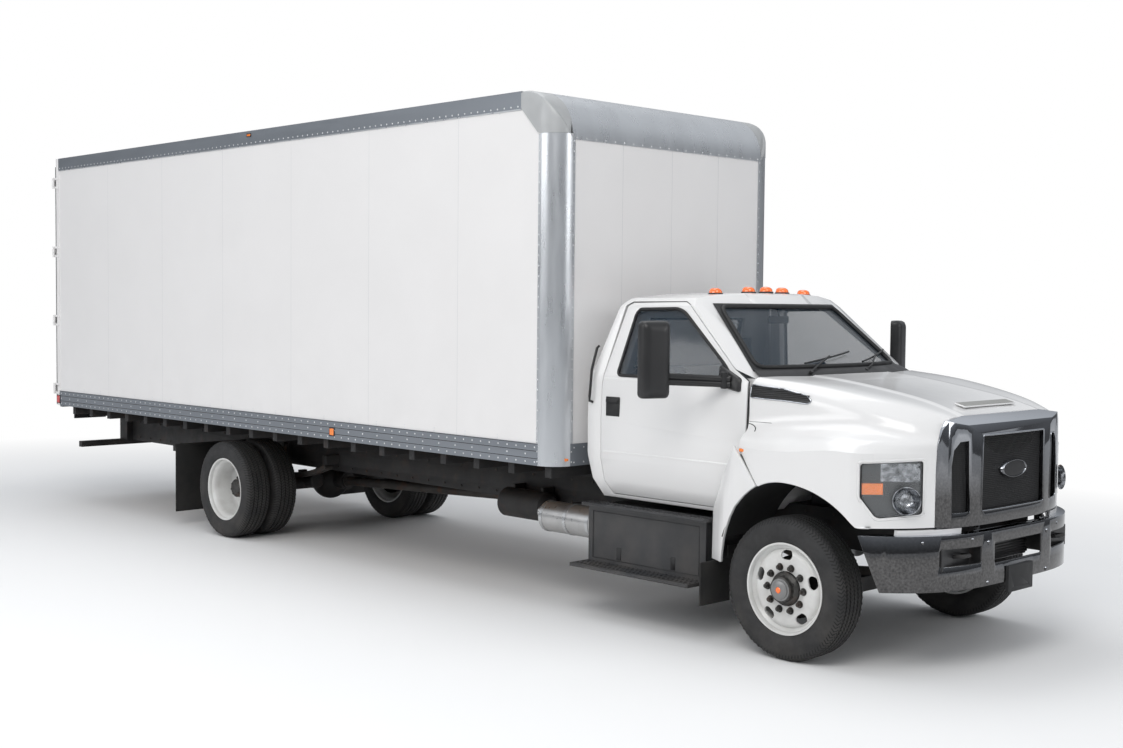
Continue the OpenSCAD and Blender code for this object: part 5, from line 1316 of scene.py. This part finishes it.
world = bpy.data.worlds.new("studio")
scene.world = world
world.use_nodes = True
nt = world.node_tree
bg = nt.nodes["Background"]
bg.inputs["Color"].default_value = (0.93, 0.96, 1.0, 1)
bg.inputs["Strength"].default_value = 0.70
white = nt.nodes.new("ShaderNodeBackground")
white.inputs["Color"].default_value = (1, 1, 1, 1)
white.inputs["Strength"].default_value = 1.0
sky_at = nt.nodes.new("ShaderNodeTexCoord")
sky_z = nt.nodes.new("ShaderNodeSeparateXYZ")
ramp = nt.nodes.new("ShaderNodeValToRGB")
ramp.color_ramp.elements[0].position = 0.0
ramp.color_ramp.elements[0].color = (0.16, 0.165, 0.175, 1)
ramp.color_ramp.elements[1].position = 0.55
ramp.color_ramp.elements[1].color = (0.93, 0.96, 1.0, 1)
step = ramp.color_ramp.elements.new(0.16)
step.color = (0.34, 0.36, 0.39, 1)
nt.links.new(sky_at.outputs["Generated"], sky_z.inputs[0])
nt.links.new(sky_z.outputs["Z"], ramp.inputs["Fac"])
nt.links.new(ramp.outputs["Color"], bg.inputs["Color"])
lp = nt.nodes.new("ShaderNodeLightPath")
mx = nt.nodes.new("ShaderNodeMixShader")
nt.links.new(lp.outputs["Is Camera Ray"], mx.inputs[0])
nt.links.new(bg.outputs[0], mx.inputs[1])
nt.links.new(white.outputs[0], mx.inputs[2])
nt.links.new(mx.outputs[0], nt.nodes["World Output"].inputs["Surface"])


def area(name, place, target, size, watts, colour=(1, 1, 1)):
    d = bpy.data.lights.new(name, "AREA")
    d.shape = "RECTANGLE"
    d.size, d.size_y = size
    d.energy = watts
    d.color = colour
    o = bpy.data.objects.new(name, d)
    o.location = place
    o.rotation_euler = (Vector(target) - Vector(place)).to_track_quat("-Z", "Y").to_euler()
    scene.collection.objects.link(o)


area("key", (8.0, -9.0, 9.5), (0.5, 0, 1.2), (7, 5), 500, (1.0, 0.985, 0.96))
area("side_fill", (-3.0, -13.0, 6.0), (-1.0, 0, 1.6), (10, 4), 400)
area("front_fill", (14.0, 3.0, 5.0), (3.0, 0, 1.2), (5, 4), 190)
area("top", (-1.0, 0.0, 13.0), (0, 0, 0), (12, 6), 460)

a, e, r = math.radians(45.9027), math.radians(2.768), math.radians(0.5542)
fw = Vector((-math.sin(a) * math.cos(e), math.cos(a) * math.cos(e), -math.sin(e)))
right0 = Vector((math.cos(a), math.sin(a), 0))
up0 = right0.cross(fw)
right = right0 * math.cos(r) + up0 * math.sin(r)
up = -right0 * math.sin(r) + up0 * math.cos(r)
cam_data = bpy.data.cameras.new("camera")
cam_data.lens, cam_data.sensor_width = 46.42, 36
cam_data.clip_end = 200
cam = bpy.data.objects.new("camera", cam_data)
pos = at((5614.7, -8566.1, 2277.9))
cam.matrix_world = Matrix(((right.x, up.x, -fw.x, pos.x), (right.y, up.y, -fw.y, pos.y), (right.z, up.z, -fw.z, pos.z), (0, 0, 0, 1)))
scene.collection.objects.link(cam)
scene.camera = cam
scene.view_settings.view_transform = "Standard"
